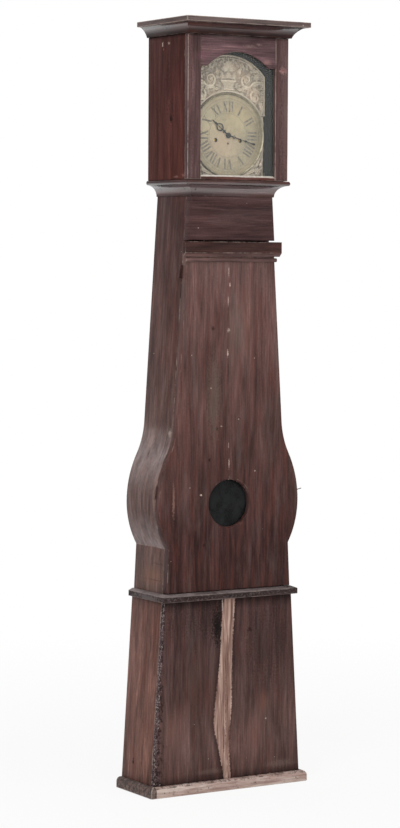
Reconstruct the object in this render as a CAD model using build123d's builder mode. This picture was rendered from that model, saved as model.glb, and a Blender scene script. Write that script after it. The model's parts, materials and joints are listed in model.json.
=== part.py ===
from build123d import *
import os
from math import asin, atan2, cos, degrees, hypot, pi, radians, sin, tan

# Tall-case clock with a violin-shaped trunk. Millimetres, +Z up, the front faces -Y.
# X = 0 is the clock's middle, Z = 0 the floor. Depths are measured out from the wall.

# --- fits
joint_gap = 0.2          # hairline between two pieces of wood that meet
seat_gap = 0.3           # a loose piece over what carries it
running_clearance = 0.05  # radial, a turning shaft in its hole

# --- plinth
plinth_height = 594
plinth_foot_width = 516
plinth_top_width = 447.4
plinth_front_depth = 192
plinth_board = 18
base_moulding_height = 33
base_moulding_side_reach = 19.3
base_moulding_front_reach = 18
base_moulding_round = 14
waist_drop = 13          # the waist moulding hangs this far below the plinth's top
waist_rise = 10          # and stands this far above it
waist_face_height = 17
waist_side_reach = 13.6
waist_front_reach = 17

# --- trunk, seen from the front, from the plinth up
trunk_step_in = 5        # each side, from the plinth's top corner
notch_width = 422.6
notch_rise = 144
belly_width = 491
belly_lower_rise = 130
shoulder_width = 423
belly_upper_rise = 142
taper_width = 370
flare_rise = 98
trunk_top_width = 284
taper_rise = 674
side_board = 18
backboard_thickness = 14
carcass_depth = 168
bottom_rail_height = 56
rail_thickness = 18

# --- trunk door and the frieze above it
door_gap = 2             # between the door and the carcass, filled by the hinge leaves
door_thickness = 23
door_foot_gap = 2
frieze_height = 130
frieze_thickness = 30
frieze_gap = 4
lenticle_bore = 142
lenticle_bevel = 4.5
lenticle_rise = -2       # lenticle centre against the widest level of the belly
lenticle_rebate = 6
glass_thickness = 3
strip_height = 33
strip_width = 340
strip_reach = 16
strip_bevel_height = 11
strip_bevel_reach = 11
bead_drop = 54           # bead centre below the door's top
bead_radius = 6
bead_width = 320

# --- hood and its support moulding
hood_moulding_height = 47
hood_moulding_side_reach = 39.4
hood_moulding_front_reach = 37.3
hood_moulding_foot = 3.5
hood_moulding_nose = 13
hood_width = 351
hood_depth = 208
hood_height = 425.7
hood_board = 18
hood_door_thickness = 18
hood_door_play = 1
stile_width = 45
sill_height = 9
shoulder_drop = 91       # from the top of the hood door to the arch's shoulders
arch_span = 214
arch_rise = 44
glass_rebate = 5
glass_lip = 10
cornice_side_reach = 40.4
cornice_front_reach = 60.5
cornice_cove_height = 30
cornice_board_thickness = 15
cornice_board_width = 62

# --- hinges, the door hook
hinge_length = 40
knuckle_radius = 2.9
knuckle_clearance = 0.1
hinge_pin_radius = 1.2
hood_leaf_width = 20
hood_hinge_drop = 95     # upper hinge below the hood door's top
hood_hinge_rise = 91     # lower hinge above its foot
trunk_leaf_width = 24
trunk_hinge_drop = 88    # upper hinge below the trunk door's top
hook_wire_radius = 1.2
hook_length = 36
hook_lift = 30           # degrees above level when it hangs open
hook_screw_radius = 1.5
hook_pivot_depth = 145
hook_rise = 16           # above the widest level of the belly

# --- dial
dial_rise = 135          # dial centre above the hood's seat
dial_plate_depth = 166
dial_sheet = 1.2
dial_plate_width = 250
pediment_width = 262
pediment_foot_rise = 60
pediment_shoulder_rise = 178
pediment_rise = 240
chapter_thickness = 2
bezel_radius = 126
bezel_width = 5.5
bezel_reach = 7.5
winding_spread = 43
winding_drop = 14.5
winding_hole_radius = 6.5
stud_drop = 24
hand_hole_radius = 7.5
minute_hand_length = 96
hour_hand_length = 71
hand_thickness = 1.2
hour_shown = 10
minute_shown = 17.5

# --- movement: an iron cage with the going train at left and the strike at right
seat_board_thickness = 20
cheek_rise = 7           # trunk cheeks above the hood's seat
seat_board_width = 270
seat_board_depth = 150
cage_width = 190
cage_height = 224
cage_plate = 3
cage_back = 55
cage_front = 130
cage_post = 8
pivot_bar_width = 10
pivot_bar_thickness = 3
dial_post_radius = 3
arbor_radius = 1.6
pivot_radius = 1.2
centre_pipe_radius = 2.5
barrel_radius = 13.9
cord_radius = 1
barrel_flange_radius = 20
barrel_back = 62
barrel_front = 94
barrel_arbor_radius = 3
winding_square = 4.2
wheel_thickness = 3
fine_wheel_thickness = 2.5
pinion_leaves = 6
great_teeth = 72
centre_teeth = 45
third_teeth = 44
strike_great_teeth = 54
pin_wheel_teeth = 48
warning_teeth = 42
escape_teeth = 30
centre_module = 1.3
third_module = 1.2
strike_great_module = 1.25
pin_wheel_module = 1.15
warning_module = 1.0
cannon_teeth = 12
minute_wheel_teeth = 36
minute_pinion_teeth = 10
hour_wheel_teeth = 40
escape_radius = 22
pallet_clearance = 1.7
hammer_x = 80
hammer_rise = 26         # hammer arbor above the dial centre
hammer_notch_reach = 45  # into the cage's top plate, where the hammer passes
hammer_notch_width = 12
lifting_pins = 8
lifting_pin_circle = 22
lifting_pin_radius = 1
bell_radius = 46
bell_height = 30
bell_wall = 2.5
bell_skirt = 12          # upright part of its side
bell_crown_radius = 24
bell_post_radius = 3
bell_rise = 14           # bell mouth above the cage
bell_depth = 92

# --- pendulum and weights
pendulum_depth = 36
crutch_length = 90
fork_height = 6
rod_radius = 3
bob_radius = 72
bob_half_thickness = 9
bob_flat_radius = 30      # the middle of each face
bob_edge = 2
weight_radius = 32
weight_height = 190
weight_hook_drop = 276   # weight hook below the seat board, clock nearly wound
weight_depth = 78

# --- levels and half widths that follow
wall_y = (hood_depth + door_gap + hood_door_thickness + cornice_front_reach) / 2
plinth_top = plinth_height
trunk_foot_width = plinth_top_width - 2 * trunk_step_in
notch_level = plinth_top + notch_rise
belly_level = notch_level + belly_lower_rise
shoulder_level = belly_level + belly_upper_rise
taper_level = shoulder_level + flare_rise
trunk_top = taper_level + taper_rise
hood_seat = trunk_top + hood_moulding_height
cheek_top = hood_seat + cheek_rise
hood_bottom = hood_seat + seat_gap
cornice_bottom = hood_bottom + hood_height
frieze_bottom = trunk_top - frieze_height
door_top = frieze_bottom - frieze_gap
door_bottom = plinth_top + waist_rise + door_foot_gap
door_back = carcass_depth + door_gap
door_front = door_back + door_thickness
frieze_front = carcass_depth + frieze_thickness
hood_door_back = hood_depth + door_gap
hood_front = hood_door_back + hood_door_thickness
hood_door_bottom = hood_bottom + hood_door_play
hood_door_top = cornice_bottom - hood_door_play
dial_level = hood_seat + dial_rise
chapter_radius = bezel_radius - bezel_width - seat_gap
seat_board_top = cheek_top + seat_board_thickness
cage_top = seat_board_top + cage_height
lenticle_level = belly_level + lenticle_rise


def depth_plane(depth):
    # local x is X, local y is Z, and an extrusion comes out from the wall
    return Plane(origin=(0, wall_y - depth, 0), x_dir=(1, 0, 0), z_dir=(0, -1, 0))


def shaft(x, z, radius, back, front, mode=Mode.ADD):
    # a round rod along the depth, from one depth to another
    with Locations(Location((x, wall_y - front, z), (-90, 0, 0))):
        Cylinder(radius, front - back, align=(Align.CENTER, Align.CENTER, Align.MIN), mode=mode)


# ---------------------------------------------------------------- case outlines
def trunk_silhouette(inset=0):
    # half outline from the foot up, over the belly, to the cheeks, then mirrored
    with BuildSketch() as outline:
        with BuildLine():
            foot = Line((0, plinth_top), (trunk_foot_width / 2 - inset, plinth_top))
            widest = (belly_width / 2 - inset, belly_level)
            waist = Line(foot @ 1, (notch_width / 2 - inset, notch_level))
            TangentArc(widest, waist @ 1, tangent=(0, -1))
            belly = TangentArc(widest, (shoulder_width / 2 - inset, shoulder_level), tangent=(0, 1))
            flare = TangentArc(belly @ 1, (taper_width / 2 - inset, taper_level), tangent=belly % 1)
            taper = Line(flare @ 1, (trunk_top_width / 2 - inset, trunk_top))
            Polyline(taper @ 1, (trunk_top_width / 2 - inset, cheek_top), (0, cheek_top), foot @ 0)
        make_face()
        mirror(about=Plane.YZ)
    return outline.sketch


def trunk_band(low, high, inset=0):
    with BuildSketch() as band:
        add(trunk_silhouette(inset))
        with Locations((0, (low + high) / 2)):
            Rectangle(2 * belly_width, high - low, mode=Mode.INTERSECT)
    return band.sketch


def plinth_silhouette(inset=0):
    foot = plinth_foot_width / 2 - inset
    top = plinth_top_width / 2 - inset
    with BuildSketch() as outline:
        with BuildLine():
            Polyline((-foot, 0), (foot, 0), (foot, base_moulding_height), (top, plinth_top),
                     (-top, plinth_top), (-foot, base_moulding_height), close=True)
        make_face()
    return outline.sketch


# ---------------------------------------------------------------- mouldings
def base_profile(reach):
    with BuildSketch() as profile:
        Rectangle(reach, base_moulding_height, align=(Align.MIN, Align.MIN))
        outer_top = profile.vertices().group_by(Axis.X)[-1].sort_by(Axis.Y)[-1]
        fillet(outer_top, base_moulding_round)
    return profile.sketch


def waist_profile(reach, inner):
    # an L over the plinth's flared top edge, its own top sloping back to the trunk
    low = plinth_top - waist_drop
    flare = (plinth_foot_width - plinth_top_width) / 2 / (plinth_top - base_moulding_height)
    with BuildSketch() as profile:
        with BuildLine():
            Polyline((flare * waist_drop + joint_gap, low), (reach, low), (reach, low + waist_face_height),
                     (0, plinth_top + waist_rise), (-inner, plinth_top + waist_rise),
                     (-inner, plinth_top + joint_gap), (joint_gap, plinth_top + joint_gap), close=True)
        make_face()
    return profile.sketch


def hood_moulding_profile(reach):
    # a cove under a round nose
    nose = hood_moulding_nose / 4
    cove_top = hood_seat - hood_moulding_nose
    run = reach - nose - hood_moulding_foot
    rise = cove_top - trunk_top
    bend = 1 - sin(radians(45))
    with BuildSketch() as profile:
        with BuildLine():
            Polyline((0, hood_seat), (0, trunk_top), (hood_moulding_foot, trunk_top))
            ThreePointArc((hood_moulding_foot, trunk_top),
                          (hood_moulding_foot + run * bend, cove_top - rise * bend),
                          (reach - nose, cove_top))
            ThreePointArc((reach - nose, cove_top), (reach, (cove_top + hood_seat) / 2),
                          (reach - nose, hood_seat))
            Line((reach - nose, hood_seat), (0, hood_seat))
        make_face()
    return profile.sketch


def cornice_cove_profile(reach):
    # shallow cove, shares of the cornice's reach
    foot, lip, hollow = 0.146 * reach, 0.73 * reach, 0.07 * reach
    top = cornice_bottom + cornice_cove_height
    with BuildSketch() as profile:
        with BuildLine():
            Polyline((lip, top), (0, top), (0, cornice_bottom), (foot, cornice_bottom))
            ThreePointArc((foot, cornice_bottom),
                          ((foot + lip) / 2 - hollow, (cornice_bottom + top) / 2 + hollow),
                          (lip, top))
        make_face()
    return profile.sketch


def cornice_board_profile(reach):
    with BuildSketch() as profile:
        with Locations((reach, cornice_bottom + cornice_cove_height)):
            Rectangle(cornice_board_width, cornice_board_thickness, align=(Align.MAX, Align.MIN))
    return profile.sketch


def mitred_moulding(front_profile, side_profile, half_width, depth, side_reach, front_reach):
    # a front length and two returns, cut along the mitre that joins inner and outer corner
    corner_y = wall_y - depth
    end = half_width + side_reach
    right = Plane((half_width, corner_y, 0), (side_reach, -front_reach, 0), (front_reach, side_reach, 0))
    left = Plane((-half_width, corner_y, 0), (side_reach, front_reach, 0), (-front_reach, side_reach, 0))
    with BuildPart() as front:
        with BuildSketch(Plane((end, corner_y, 0), (0, -1, 0), (-1, 0, 0))):
            add(front_profile)
        extrude(amount=2 * end)
        split(bisect_by=right.offset(-joint_gap / 2), keep=Keep.BOTTOM)
        split(bisect_by=left.offset(-joint_gap / 2), keep=Keep.BOTTOM)
    with BuildPart() as moulding:
        with BuildSketch(Plane((half_width, wall_y, 0), (1, 0, 0), (0, -1, 0))):
            add(side_profile)
        extrude(amount=depth + front_reach)
        split(bisect_by=right.offset(joint_gap / 2), keep=Keep.TOP)
        mirror(about=Plane.YZ)
        add(front.part)
    return moulding


base_moulding = mitred_moulding(
    base_profile(base_moulding_front_reach), base_profile(base_moulding_side_reach),
    plinth_foot_width / 2, plinth_front_depth, base_moulding_side_reach, base_moulding_front_reach)

waist_moulding = mitred_moulding(
    waist_profile(waist_front_reach, plinth_front_depth - carcass_depth),
    waist_profile(waist_side_reach, trunk_step_in - joint_gap),
    plinth_top_width / 2, plinth_front_depth, waist_side_reach, waist_front_reach)

hood_moulding = mitred_moulding(
    hood_moulding_profile(hood_moulding_front_reach), hood_moulding_profile(hood_moulding_side_reach),
    trunk_top_width / 2, frieze_front, hood_moulding_side_reach, hood_moulding_front_reach)

cornice_cove = mitred_moulding(
    cornice_cove_profile(cornice_front_reach), cornice_cove_profile(cornice_side_reach),
    hood_width / 2, hood_front, cornice_side_reach, cornice_front_reach)

cornice_board = mitred_moulding(
    cornice_board_profile(cornice_front_reach), cornice_board_profile(cornice_side_reach),
    hood_width / 2, hood_front, cornice_side_reach, cornice_front_reach)

# ---------------------------------------------------------------- plinth and trunk boards
with BuildPart() as plinth_sides:
    with BuildSketch(depth_plane(0)):
        add(plinth_silhouette())
        add(plinth_silhouette(plinth_board), mode=Mode.SUBTRACT)
    extrude(amount=plinth_front_depth - plinth_board)

with BuildPart() as plinth_front:
    with BuildSketch(depth_plane(plinth_front_depth - plinth_board)):
        add(plinth_silhouette())
    extrude(amount=plinth_board)

trunk_sides = {}
for side_name, side_sign in {"left": -1, "right": 1}.items():
    with BuildPart() as trunk_side:
        with BuildSketch(depth_plane(0)):
            add(trunk_silhouette())
            add(trunk_silhouette(side_board), mode=Mode.SUBTRACT)
            with Locations((side_sign * belly_width / 2, trunk_top / 2)):
                Rectangle(belly_width, 2 * trunk_top, mode=Mode.INTERSECT)
        extrude(amount=carcass_depth)
    trunk_sides[side_name] = trunk_side

backboard_top = cornice_bottom - 7
with BuildPart() as backboard:
    with BuildSketch(depth_plane(0)):
        add(plinth_silhouette(plinth_board + joint_gap))
        add(trunk_silhouette(side_board + joint_gap))
        with Locations((0, cheek_top + joint_gap)):
            Rectangle(hood_width - 2 * hood_board - 15, backboard_top - cheek_top - joint_gap,
                      align=(Align.CENTER, Align.MIN))
        with Locations((0, cheek_top)):
            Rectangle(trunk_top_width - 2 * side_board - 2 * joint_gap, 2)
    extrude(amount=backboard_thickness)

with BuildPart() as trunk_bottom_rail:
    with BuildSketch(depth_plane(carcass_depth - rail_thickness)):
        add(trunk_band(plinth_top, plinth_top + bottom_rail_height, side_board + joint_gap))
    extrude(amount=rail_thickness)

with BuildPart() as frieze_panel:
    with BuildSketch(depth_plane(carcass_depth)):
        add(trunk_band(frieze_bottom, hood_seat))
    extrude(amount=frieze_thickness)

# ---------------------------------------------------------------- trunk door
with BuildPart() as trunk_door_panel:
    with BuildSketch(depth_plane(door_back)):
        add(trunk_band(door_bottom, door_top))
        with Locations((0, lenticle_level)):
            Circle(lenticle_bore / 2, mode=Mode.SUBTRACT)
    extrude(amount=door_thickness)
    rim = trunk_door_panel.edges().filter_by(GeomType.CIRCLE).group_by(Axis.Y)[0]
    chamfer(rim.filter_by(lambda edge: abs(edge.radius - lenticle_bore / 2) < 1), lenticle_bevel)
    shaft(0, lenticle_level, lenticle_bore / 2 + lenticle_rebate, door_back,
          door_back + glass_thickness + 2, Mode.SUBTRACT)

with BuildPart() as lenticle_glass:
    shaft(0, lenticle_level, lenticle_bore / 2 + lenticle_rebate - seat_gap,
          door_back + 2, door_back + 2 + glass_thickness)

strip_bottom = door_top - strip_height
with BuildPart() as trunk_door_moulding:
    with BuildSketch(Plane((strip_width / 2, wall_y - door_front, 0), (0, -1, 0), (-1, 0, 0))):
        with BuildLine():
            Polyline((0, door_top), (strip_reach, door_top), (strip_reach, strip_bottom),
                     (strip_reach - strip_bevel_reach, strip_bottom - strip_bevel_height),
                     (0, strip_bottom - strip_bevel_height), close=True)
        make_face()
    extrude(amount=strip_width)
    with BuildSketch(Plane((bead_width / 2, wall_y - door_front, 0), (0, -1, 0), (-1, 0, 0))):
        with BuildLine():
            bead = CenterArc((0, door_top - bead_drop), bead_radius, -90, 180)
            Line(bead @ 1, bead @ 0)
        make_face()
    extrude(amount=bead_width)

# ---------------------------------------------------------------- hood
with BuildPart() as hood_sides:
    with BuildSketch(Plane.XY.offset(hood_bottom)):
        with Locations((hood_width / 2, wall_y)):
            Rectangle(hood_board, hood_depth, align=(Align.MAX, Align.MAX))
        mirror(about=Plane.YZ)
    extrude(amount=hood_height)

with BuildPart() as hood_top_board:
    with BuildSketch(Plane.XY.offset(cornice_bottom)):
        with Locations((0, wall_y)):
            Rectangle(hood_width, hood_front, align=(Align.CENTER, Align.MAX))
    extrude(amount=hood_board)


def hood_opening(margin=0):
    # the glazed opening: straight sides, two shoulders and a round arch between them
    sill = hood_door_bottom + sill_height - margin
    shoulder = hood_door_top - shoulder_drop
    arch_radius = (arch_span ** 2 / 4 + arch_rise ** 2) / (2 * arch_rise)
    with BuildSketch() as arch:
        with Locations((0, shoulder + arch_rise - arch_radius)):
            Circle(arch_radius + margin)
        with Locations((0, shoulder)):
            Rectangle(hood_width, 2 * arch_rise, align=(Align.CENTER, Align.MIN), mode=Mode.INTERSECT)
    with BuildSketch() as opening:
        with Locations((0, sill)):
            Rectangle(hood_width - 2 * stile_width + 2 * margin, shoulder + margin - sill,
                      align=(Align.CENTER, Align.MIN))
        add(arch.sketch)
    return opening.sketch


def hood_door_piece(centre_x, low, width, height):
    # a blank of the door's frame, less the opening and the rebate behind its lip
    with BuildPart() as piece:
        with BuildSketch(depth_plane(hood_door_back)):
            with Locations((centre_x, low)):
                Rectangle(width, height, align=(Align.CENTER, Align.MIN))
        extrude(amount=hood_door_thickness)
        with BuildSketch(depth_plane(hood_door_back)):
            add(hood_opening())
        extrude(amount=hood_door_thickness, mode=Mode.SUBTRACT)
        with BuildSketch(depth_plane(hood_door_back)):
            add(hood_opening(glass_rebate))
        extrude(amount=hood_door_thickness - glass_lip, mode=Mode.SUBTRACT)
    return piece


door_height = hood_door_top - hood_door_bottom
between_stiles = hood_width - 2 * stile_width
with BuildPart() as hood_door_stiles:
    add(hood_door_piece((hood_width - stile_width) / 2, hood_door_bottom, stile_width, door_height).part)
    mirror(about=Plane.YZ)
hood_door_top_rail = hood_door_piece(0, hood_door_top - shoulder_drop, between_stiles, shoulder_drop)
hood_door_bottom_rail = hood_door_piece(0, hood_door_bottom, between_stiles, sill_height)

with BuildPart() as hood_door_glass:
    with BuildSketch(depth_plane(hood_front - glass_lip - glass_thickness)):
        add(hood_opening(glass_rebate - seat_gap))
    extrude(amount=glass_thickness)


# ---------------------------------------------------------------- hinges
def hinge_pair(planes, leaf_width, front):
    # lift-off hinges with leaves in the gap behind the door: the pin stands on the lower knuckle.
    # Local z is the pin, local x runs over the leaf, front is +1 or -1 for the door's local y side
    half = hinge_length / 2
    leaf = door_gap / 2 - 2 * running_clearance
    with BuildPart(*planes) as fixed:
        with Locations((0, 0, -half)):
            Cylinder(knuckle_radius, half - seat_gap, align=(Align.CENTER, Align.CENTER, Align.MIN))
            with Locations((0, -front * running_clearance, 0)):
                Box(leaf_width, leaf, half - seat_gap,
                    align=(Align.MIN, Align.MAX if front > 0 else Align.MIN, Align.MIN))
        Cylinder(hinge_pin_radius, hinge_length - 6)
    with BuildPart(*planes) as moving:
        Cylinder(knuckle_radius, half, align=(Align.CENTER, Align.CENTER, Align.MIN))
        with Locations((0, front * running_clearance, 0)):
            Box(leaf_width, leaf, half,
                align=(Align.MIN, Align.MIN if front > 0 else Align.MAX, Align.MIN))
        Cylinder(hinge_pin_radius + running_clearance, hinge_length - 5, mode=Mode.SUBTRACT)
    return fixed, moving


# hood door: upright pins outside the right-hand edge
hood_pin_x = hood_width / 2 + knuckle_radius + knuckle_clearance
hood_pin_y = wall_y - hood_depth - door_gap / 2
hood_hinge_planes = [
    Plane((hood_pin_x, hood_pin_y, level), (-1, 0, 0), (0, 0, 1))
    for level in (hood_door_top - hood_hinge_drop, hood_door_bottom + hood_hinge_rise)]
hood_hinge_fixed, hood_hinge_door = hinge_pair(hood_hinge_planes, hood_leaf_width, 1)

# trunk door: one straight pin line that just clears the belly and the door's top corner,
# so it leans in a few degrees towards the top
belly_radius = ((belly_width - shoulder_width) ** 2 / 4 + belly_upper_rise ** 2) / (
    belly_width - shoulder_width)
belly_centre_x = belly_radius - belly_width / 2
door_corner_x = -(trunk_top_width / 2 + (taper_width - trunk_top_width) / 2
                  * (trunk_top - door_top) / taper_rise)
corner_run = door_corner_x - belly_centre_x
corner_lift = door_top - belly_level
pin_lean = atan2(corner_run, corner_lift) + asin(belly_radius / hypot(corner_run, corner_lift))
pin_offset = knuckle_radius + knuckle_clearance
trunk_pin_y = wall_y - carcass_depth - door_gap / 2
lower_hinge_level = belly_level + belly_radius * sin(pin_lean)
upper_hinge_level = door_top - trunk_hinge_drop


def trunk_pin_x(level):
    return door_corner_x - pin_offset / cos(pin_lean) - (door_top - level) * tan(pin_lean)


trunk_hinge_planes = [
    Plane((trunk_pin_x(level), trunk_pin_y, level),
          (cos(pin_lean), 0, -sin(pin_lean)), (sin(pin_lean), 0, cos(pin_lean)))
    for level in (lower_hinge_level, upper_hinge_level)]
trunk_hinge_fixed, trunk_hinge_door = hinge_pair(trunk_hinge_planes, trunk_leaf_width, -1)

# ---------------------------------------------------------------- wire hook on the right
hook_level = belly_level + hook_rise
hook_x = belly_width / 2 + 4
with BuildPart() as hook_screw:
    with Locations(Plane((belly_width / 2 + seat_gap, wall_y - hook_pivot_depth, hook_level),
                         (0, 1, 0), (1, 0, 0))):
        Cylinder(hook_screw_radius, 6.2, align=(Align.CENTER, Align.CENTER, Align.MIN))
        with Locations((0, 0, 6.2)):
            Cylinder(3.5, 1.5, align=(Align.CENTER, Align.CENTER, Align.MIN))

# local x runs out along the hook's arm, local z away from the case
hook_plane = Plane((hook_x, wall_y - hook_pivot_depth, hook_level),
                   (0, -cos(radians(hook_lift)), sin(radians(hook_lift))), (1, 0, 0))
with BuildPart() as door_hook:
    with BuildLine(hook_plane) as wire:
        Polyline((hook_screw_radius + 1, 0, 0), (hook_length, 0, 0), (hook_length, 7, 0),
                 (hook_length + 2, 4, 17))
    with BuildSketch(Plane(wire.line @ 0, z_dir=wire.line % 0)):
        Circle(hook_wire_radius)
    sweep(transition=Transition.RIGHT)
    with Locations(hook_plane):
        Cylinder(2.3 * hook_screw_radius, 2 * hook_wire_radius)
        Cylinder(hook_screw_radius + running_clearance, 6 * hook_wire_radius, mode=Mode.SUBTRACT)

with BuildPart() as hook_pin:
    pin_depth = hook_pivot_depth + hook_length - 3.6
    pin_level = hook_level - 2 * hook_wire_radius - seat_gap
    with Locations(Plane((belly_width / 2 + seat_gap, wall_y - pin_depth, pin_level),
                         (0, 1, 0), (1, 0, 0))):
        Cylinder(hook_wire_radius, 9, align=(Align.CENTER, Align.CENTER, Align.MIN))

# ---------------------------------------------------------------- dial
chapter_back = dial_plate_depth + 2 * dial_sheet
chapter_front = chapter_back + chapter_thickness
winding_level = dial_level - winding_drop
stud_level = dial_level - stud_drop

with BuildPart() as dial_plate:
    with BuildSketch(depth_plane(dial_plate_depth)):
        plate_bottom = dial_level - bezel_radius
        with Locations((0, plate_bottom)):
            Rectangle(dial_plate_width, 2 * bezel_radius, align=(Align.CENTER, Align.MIN))
        with Locations((0, dial_level)):
            Circle(chapter_radius - 15, mode=Mode.SUBTRACT)
    extrude(amount=2 * dial_sheet)

with BuildPart() as dial_pediment:
    with BuildSketch(depth_plane(dial_plate_depth + 2 * dial_sheet)):
        with BuildLine():
            half = pediment_width / 2
            shoulder = dial_level + pediment_shoulder_rise
            foot = dial_level + pediment_foot_rise
            Polyline((-half, shoulder), (-half, foot), (half, foot), (half, shoulder))
            ThreePointArc((half, shoulder), (0, dial_level + pediment_rise), (-half, shoulder))
        make_face()
        with Locations((0, dial_level)):
            Circle(bezel_radius + seat_gap, mode=Mode.SUBTRACT)
    extrude(amount=dial_sheet)

with BuildPart() as chapter_disc:
    shaft(0, dial_level, chapter_radius, chapter_back, chapter_front)
    shaft(0, dial_level, hand_hole_radius, chapter_back, chapter_front, Mode.SUBTRACT)
    shaft(0, stud_level, pivot_radius + 2, chapter_back, chapter_front, Mode.SUBTRACT)
    for side in (-1, 1):
        shaft(side * winding_spread, winding_level, winding_hole_radius,
              chapter_back, chapter_front, Mode.SUBTRACT)

with BuildPart() as dial_bezel:
    # a ring outside the chapter disc, standing on the plate, sloped outside and in
    with BuildSketch(Plane.YZ):
        with BuildLine():
            back_y = wall_y - chapter_back
            ring_out = dial_level + bezel_radius
            Polyline((back_y, ring_out - bezel_width), (back_y, ring_out), (back_y - 0.6 * bezel_reach, ring_out),
                     (back_y - bezel_reach, ring_out - 0.45 * bezel_width),
                     (back_y - 0.6 * bezel_reach, ring_out - bezel_width), close=True)
        make_face()
    revolve(axis=Axis((0, 0, dial_level), (0, 1, 0)))


def hand_plane(depth, turn):
    # local y points along the hand, turn is clockwise from twelve as seen from the front
    return Plane((0, wall_y - depth, dial_level), (cos(turn), 0, -sin(turn)), (0, -1, 0))


minute_turn = minute_shown / 60 * 2 * pi
hour_turn = (hour_shown + minute_shown / 60) / 12 * 2 * pi
hour_hand_depth = chapter_front + 2.4
minute_hand_depth = hour_hand_depth + hand_thickness + 1.2
hour_pipe_radius = centre_pipe_radius + running_clearance + 1.8
minute_pipe_radius = centre_pipe_radius + running_clearance + 0.8

with BuildPart() as hour_hand:
    with BuildSketch(hand_plane(hour_hand_depth, hour_turn)):
        Circle(8.5)
        with Locations((0, 14)):
            Rectangle(3.2, 14)
        with Locations((0, 24)):
            Circle(6.5)
            Circle(3.6, mode=Mode.SUBTRACT)
        with Locations((0, 41)):
            Circle(11.5)
            Circle(7.6, mode=Mode.SUBTRACT)
        with Locations((0, 41)):
            Rectangle(2.2, 17)
        with BuildLine():
            Polyline((-4.6, 51), (4.6, 51), (0.6, hour_hand_length), (-0.6, hour_hand_length), close=True)
        make_face()
        Circle(hour_pipe_radius + running_clearance, mode=Mode.SUBTRACT)
    extrude(amount=hand_thickness)

with BuildPart() as minute_hand:
    with BuildSketch(hand_plane(minute_hand_depth, minute_turn)):
        Circle(6.5)
        with Locations((0, 41)):
            Circle(4.2)
        with BuildLine():
            Polyline((-2.6, 4), (-1.5, 38), (-2.4, 44), (-0.5, minute_hand_length),
                     (0.5, minute_hand_length), (2.4, 44), (1.5, 38), (2.6, 4), close=True)
        make_face()
        Circle(minute_pipe_radius + running_clearance, mode=Mode.SUBTRACT)
    extrude(amount=hand_thickness)


# ---------------------------------------------------------------- toothed wheels
def gear(teeth, module, x, z, tooth_angle, leaves=False):
    # straight-flanked clock teeth, one of them centred on tooth_angle (degrees from +X);
    # a pinion's leaves are thinner and cut deeper than a wheel's teeth
    pitch_radius = module * teeth / 2
    tip = pitch_radius + (0.65 if leaves else 1.0) * module
    root = pitch_radius - (1.3 if leaves else 1.2) * module
    root_share, tip_share = (0.34, 0.20) if leaves else (0.56, 0.18)
    pitch = 2 * pi / teeth
    corners = []
    for tooth in range(teeth):
        middle = radians(tooth_angle) + tooth * pitch
        for radius, share in ((root, -root_share), (tip, -tip_share), (tip, tip_share), (root, root_share)):
            angle = middle + share * pitch / 2
            corners.append((x + radius * cos(angle), z + radius * sin(angle)))
    with BuildSketch() as outline:
        with BuildLine():
            Polyline(*corners, close=True)
        make_face()
    return outline.sketch


def crossings(radius, x, z):
    # four windows between the arms of a wheel
    corners = [(radius * reach * cos(radians(turn)), radius * reach * sin(radians(turn)))
               for reach, turn in ((0.34, 20), (1, 6), (1, 31), (1, 59), (1, 84), (0.34, 70))]
    with BuildSketch() as windows:
        with Locations((x, z)):
            with PolarLocations(0, 4):
                Polygon(*corners, align=None)
    return windows.sketch


def angle_between(start, end):
    return degrees(atan2(end[1] - start[1], end[0] - start[0]))


def reach_of(wheel_teeth, pinion_teeth, module):
    return (wheel_teeth + pinion_teeth) * module / 2


# arbor centres, (x, z); the going train is at left, the strike at right
centre_at = (0, dial_level)
great_at = (-winding_spread, winding_level)
strike_great_at = (winding_spread, winding_level)
great_module = 2 * hypot(winding_spread, winding_drop) / (great_teeth + pinion_leaves)
third_at = (0, dial_level + reach_of(centre_teeth, pinion_leaves, centre_module))
escape_at = (0, third_at[1] + reach_of(third_teeth, pinion_leaves, third_module))
anchor_at = (0, escape_at[1] + escape_radius * 2 ** 0.5)
pin_wheel_at = (winding_spread,
                winding_level + reach_of(strike_great_teeth, pinion_leaves, strike_great_module))
warning_at = (winding_spread, pin_wheel_at[1] + reach_of(pin_wheel_teeth, pinion_leaves, pin_wheel_module))
fly_at = (winding_spread, warning_at[1] + reach_of(warning_teeth, pinion_leaves, warning_module))
hammer_at = (hammer_x, dial_level + hammer_rise)
stud_at = (0, stud_level)
cannon_module = 2 * stud_drop / (cannon_teeth + minute_wheel_teeth)
hour_module = 2 * stud_drop / (minute_pinion_teeth + hour_wheel_teeth)

# depths of the wheels, between the bars
great_back = 118
pin_wheel_back = 110
centre_wheel_back = 103.5
third_wheel_back = 98
warning_wheel_back = 80
escape_wheel_back = 66
cannon_back = 137
hour_wheel_back = 143.5
bar_back = cage_back - pivot_bar_thickness
bar_front = cage_front + pivot_bar_thickness


def train_wheel(at, wheel_teeth, wheel_module, wheel_back, toward, pinion_module, pinion_back, driven_from,
                rim=3):
    # steel arbor between the bars, brass wheel crossed out in four, six-leaved pinion
    half_leaf = 180 / pinion_leaves
    with BuildPart() as wheel:
        shaft(*at, arbor_radius, cage_back + seat_gap, cage_front - seat_gap)
        shaft(*at, pivot_radius, bar_back, bar_front)
        with BuildSketch(depth_plane(wheel_back)):
            add(gear(wheel_teeth, wheel_module, *at, angle_between(at, toward)))
            add(crossings(wheel_module * (wheel_teeth / 2 - rim), *at), mode=Mode.SUBTRACT)
        extrude(amount=fine_wheel_thickness)
        with BuildSketch(depth_plane(pinion_back - 1)):
            add(gear(pinion_leaves, pinion_module, *at, angle_between(at, driven_from) + half_leaf, True))
        extrude(amount=wheel_thickness + 2)
    return wheel


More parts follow.
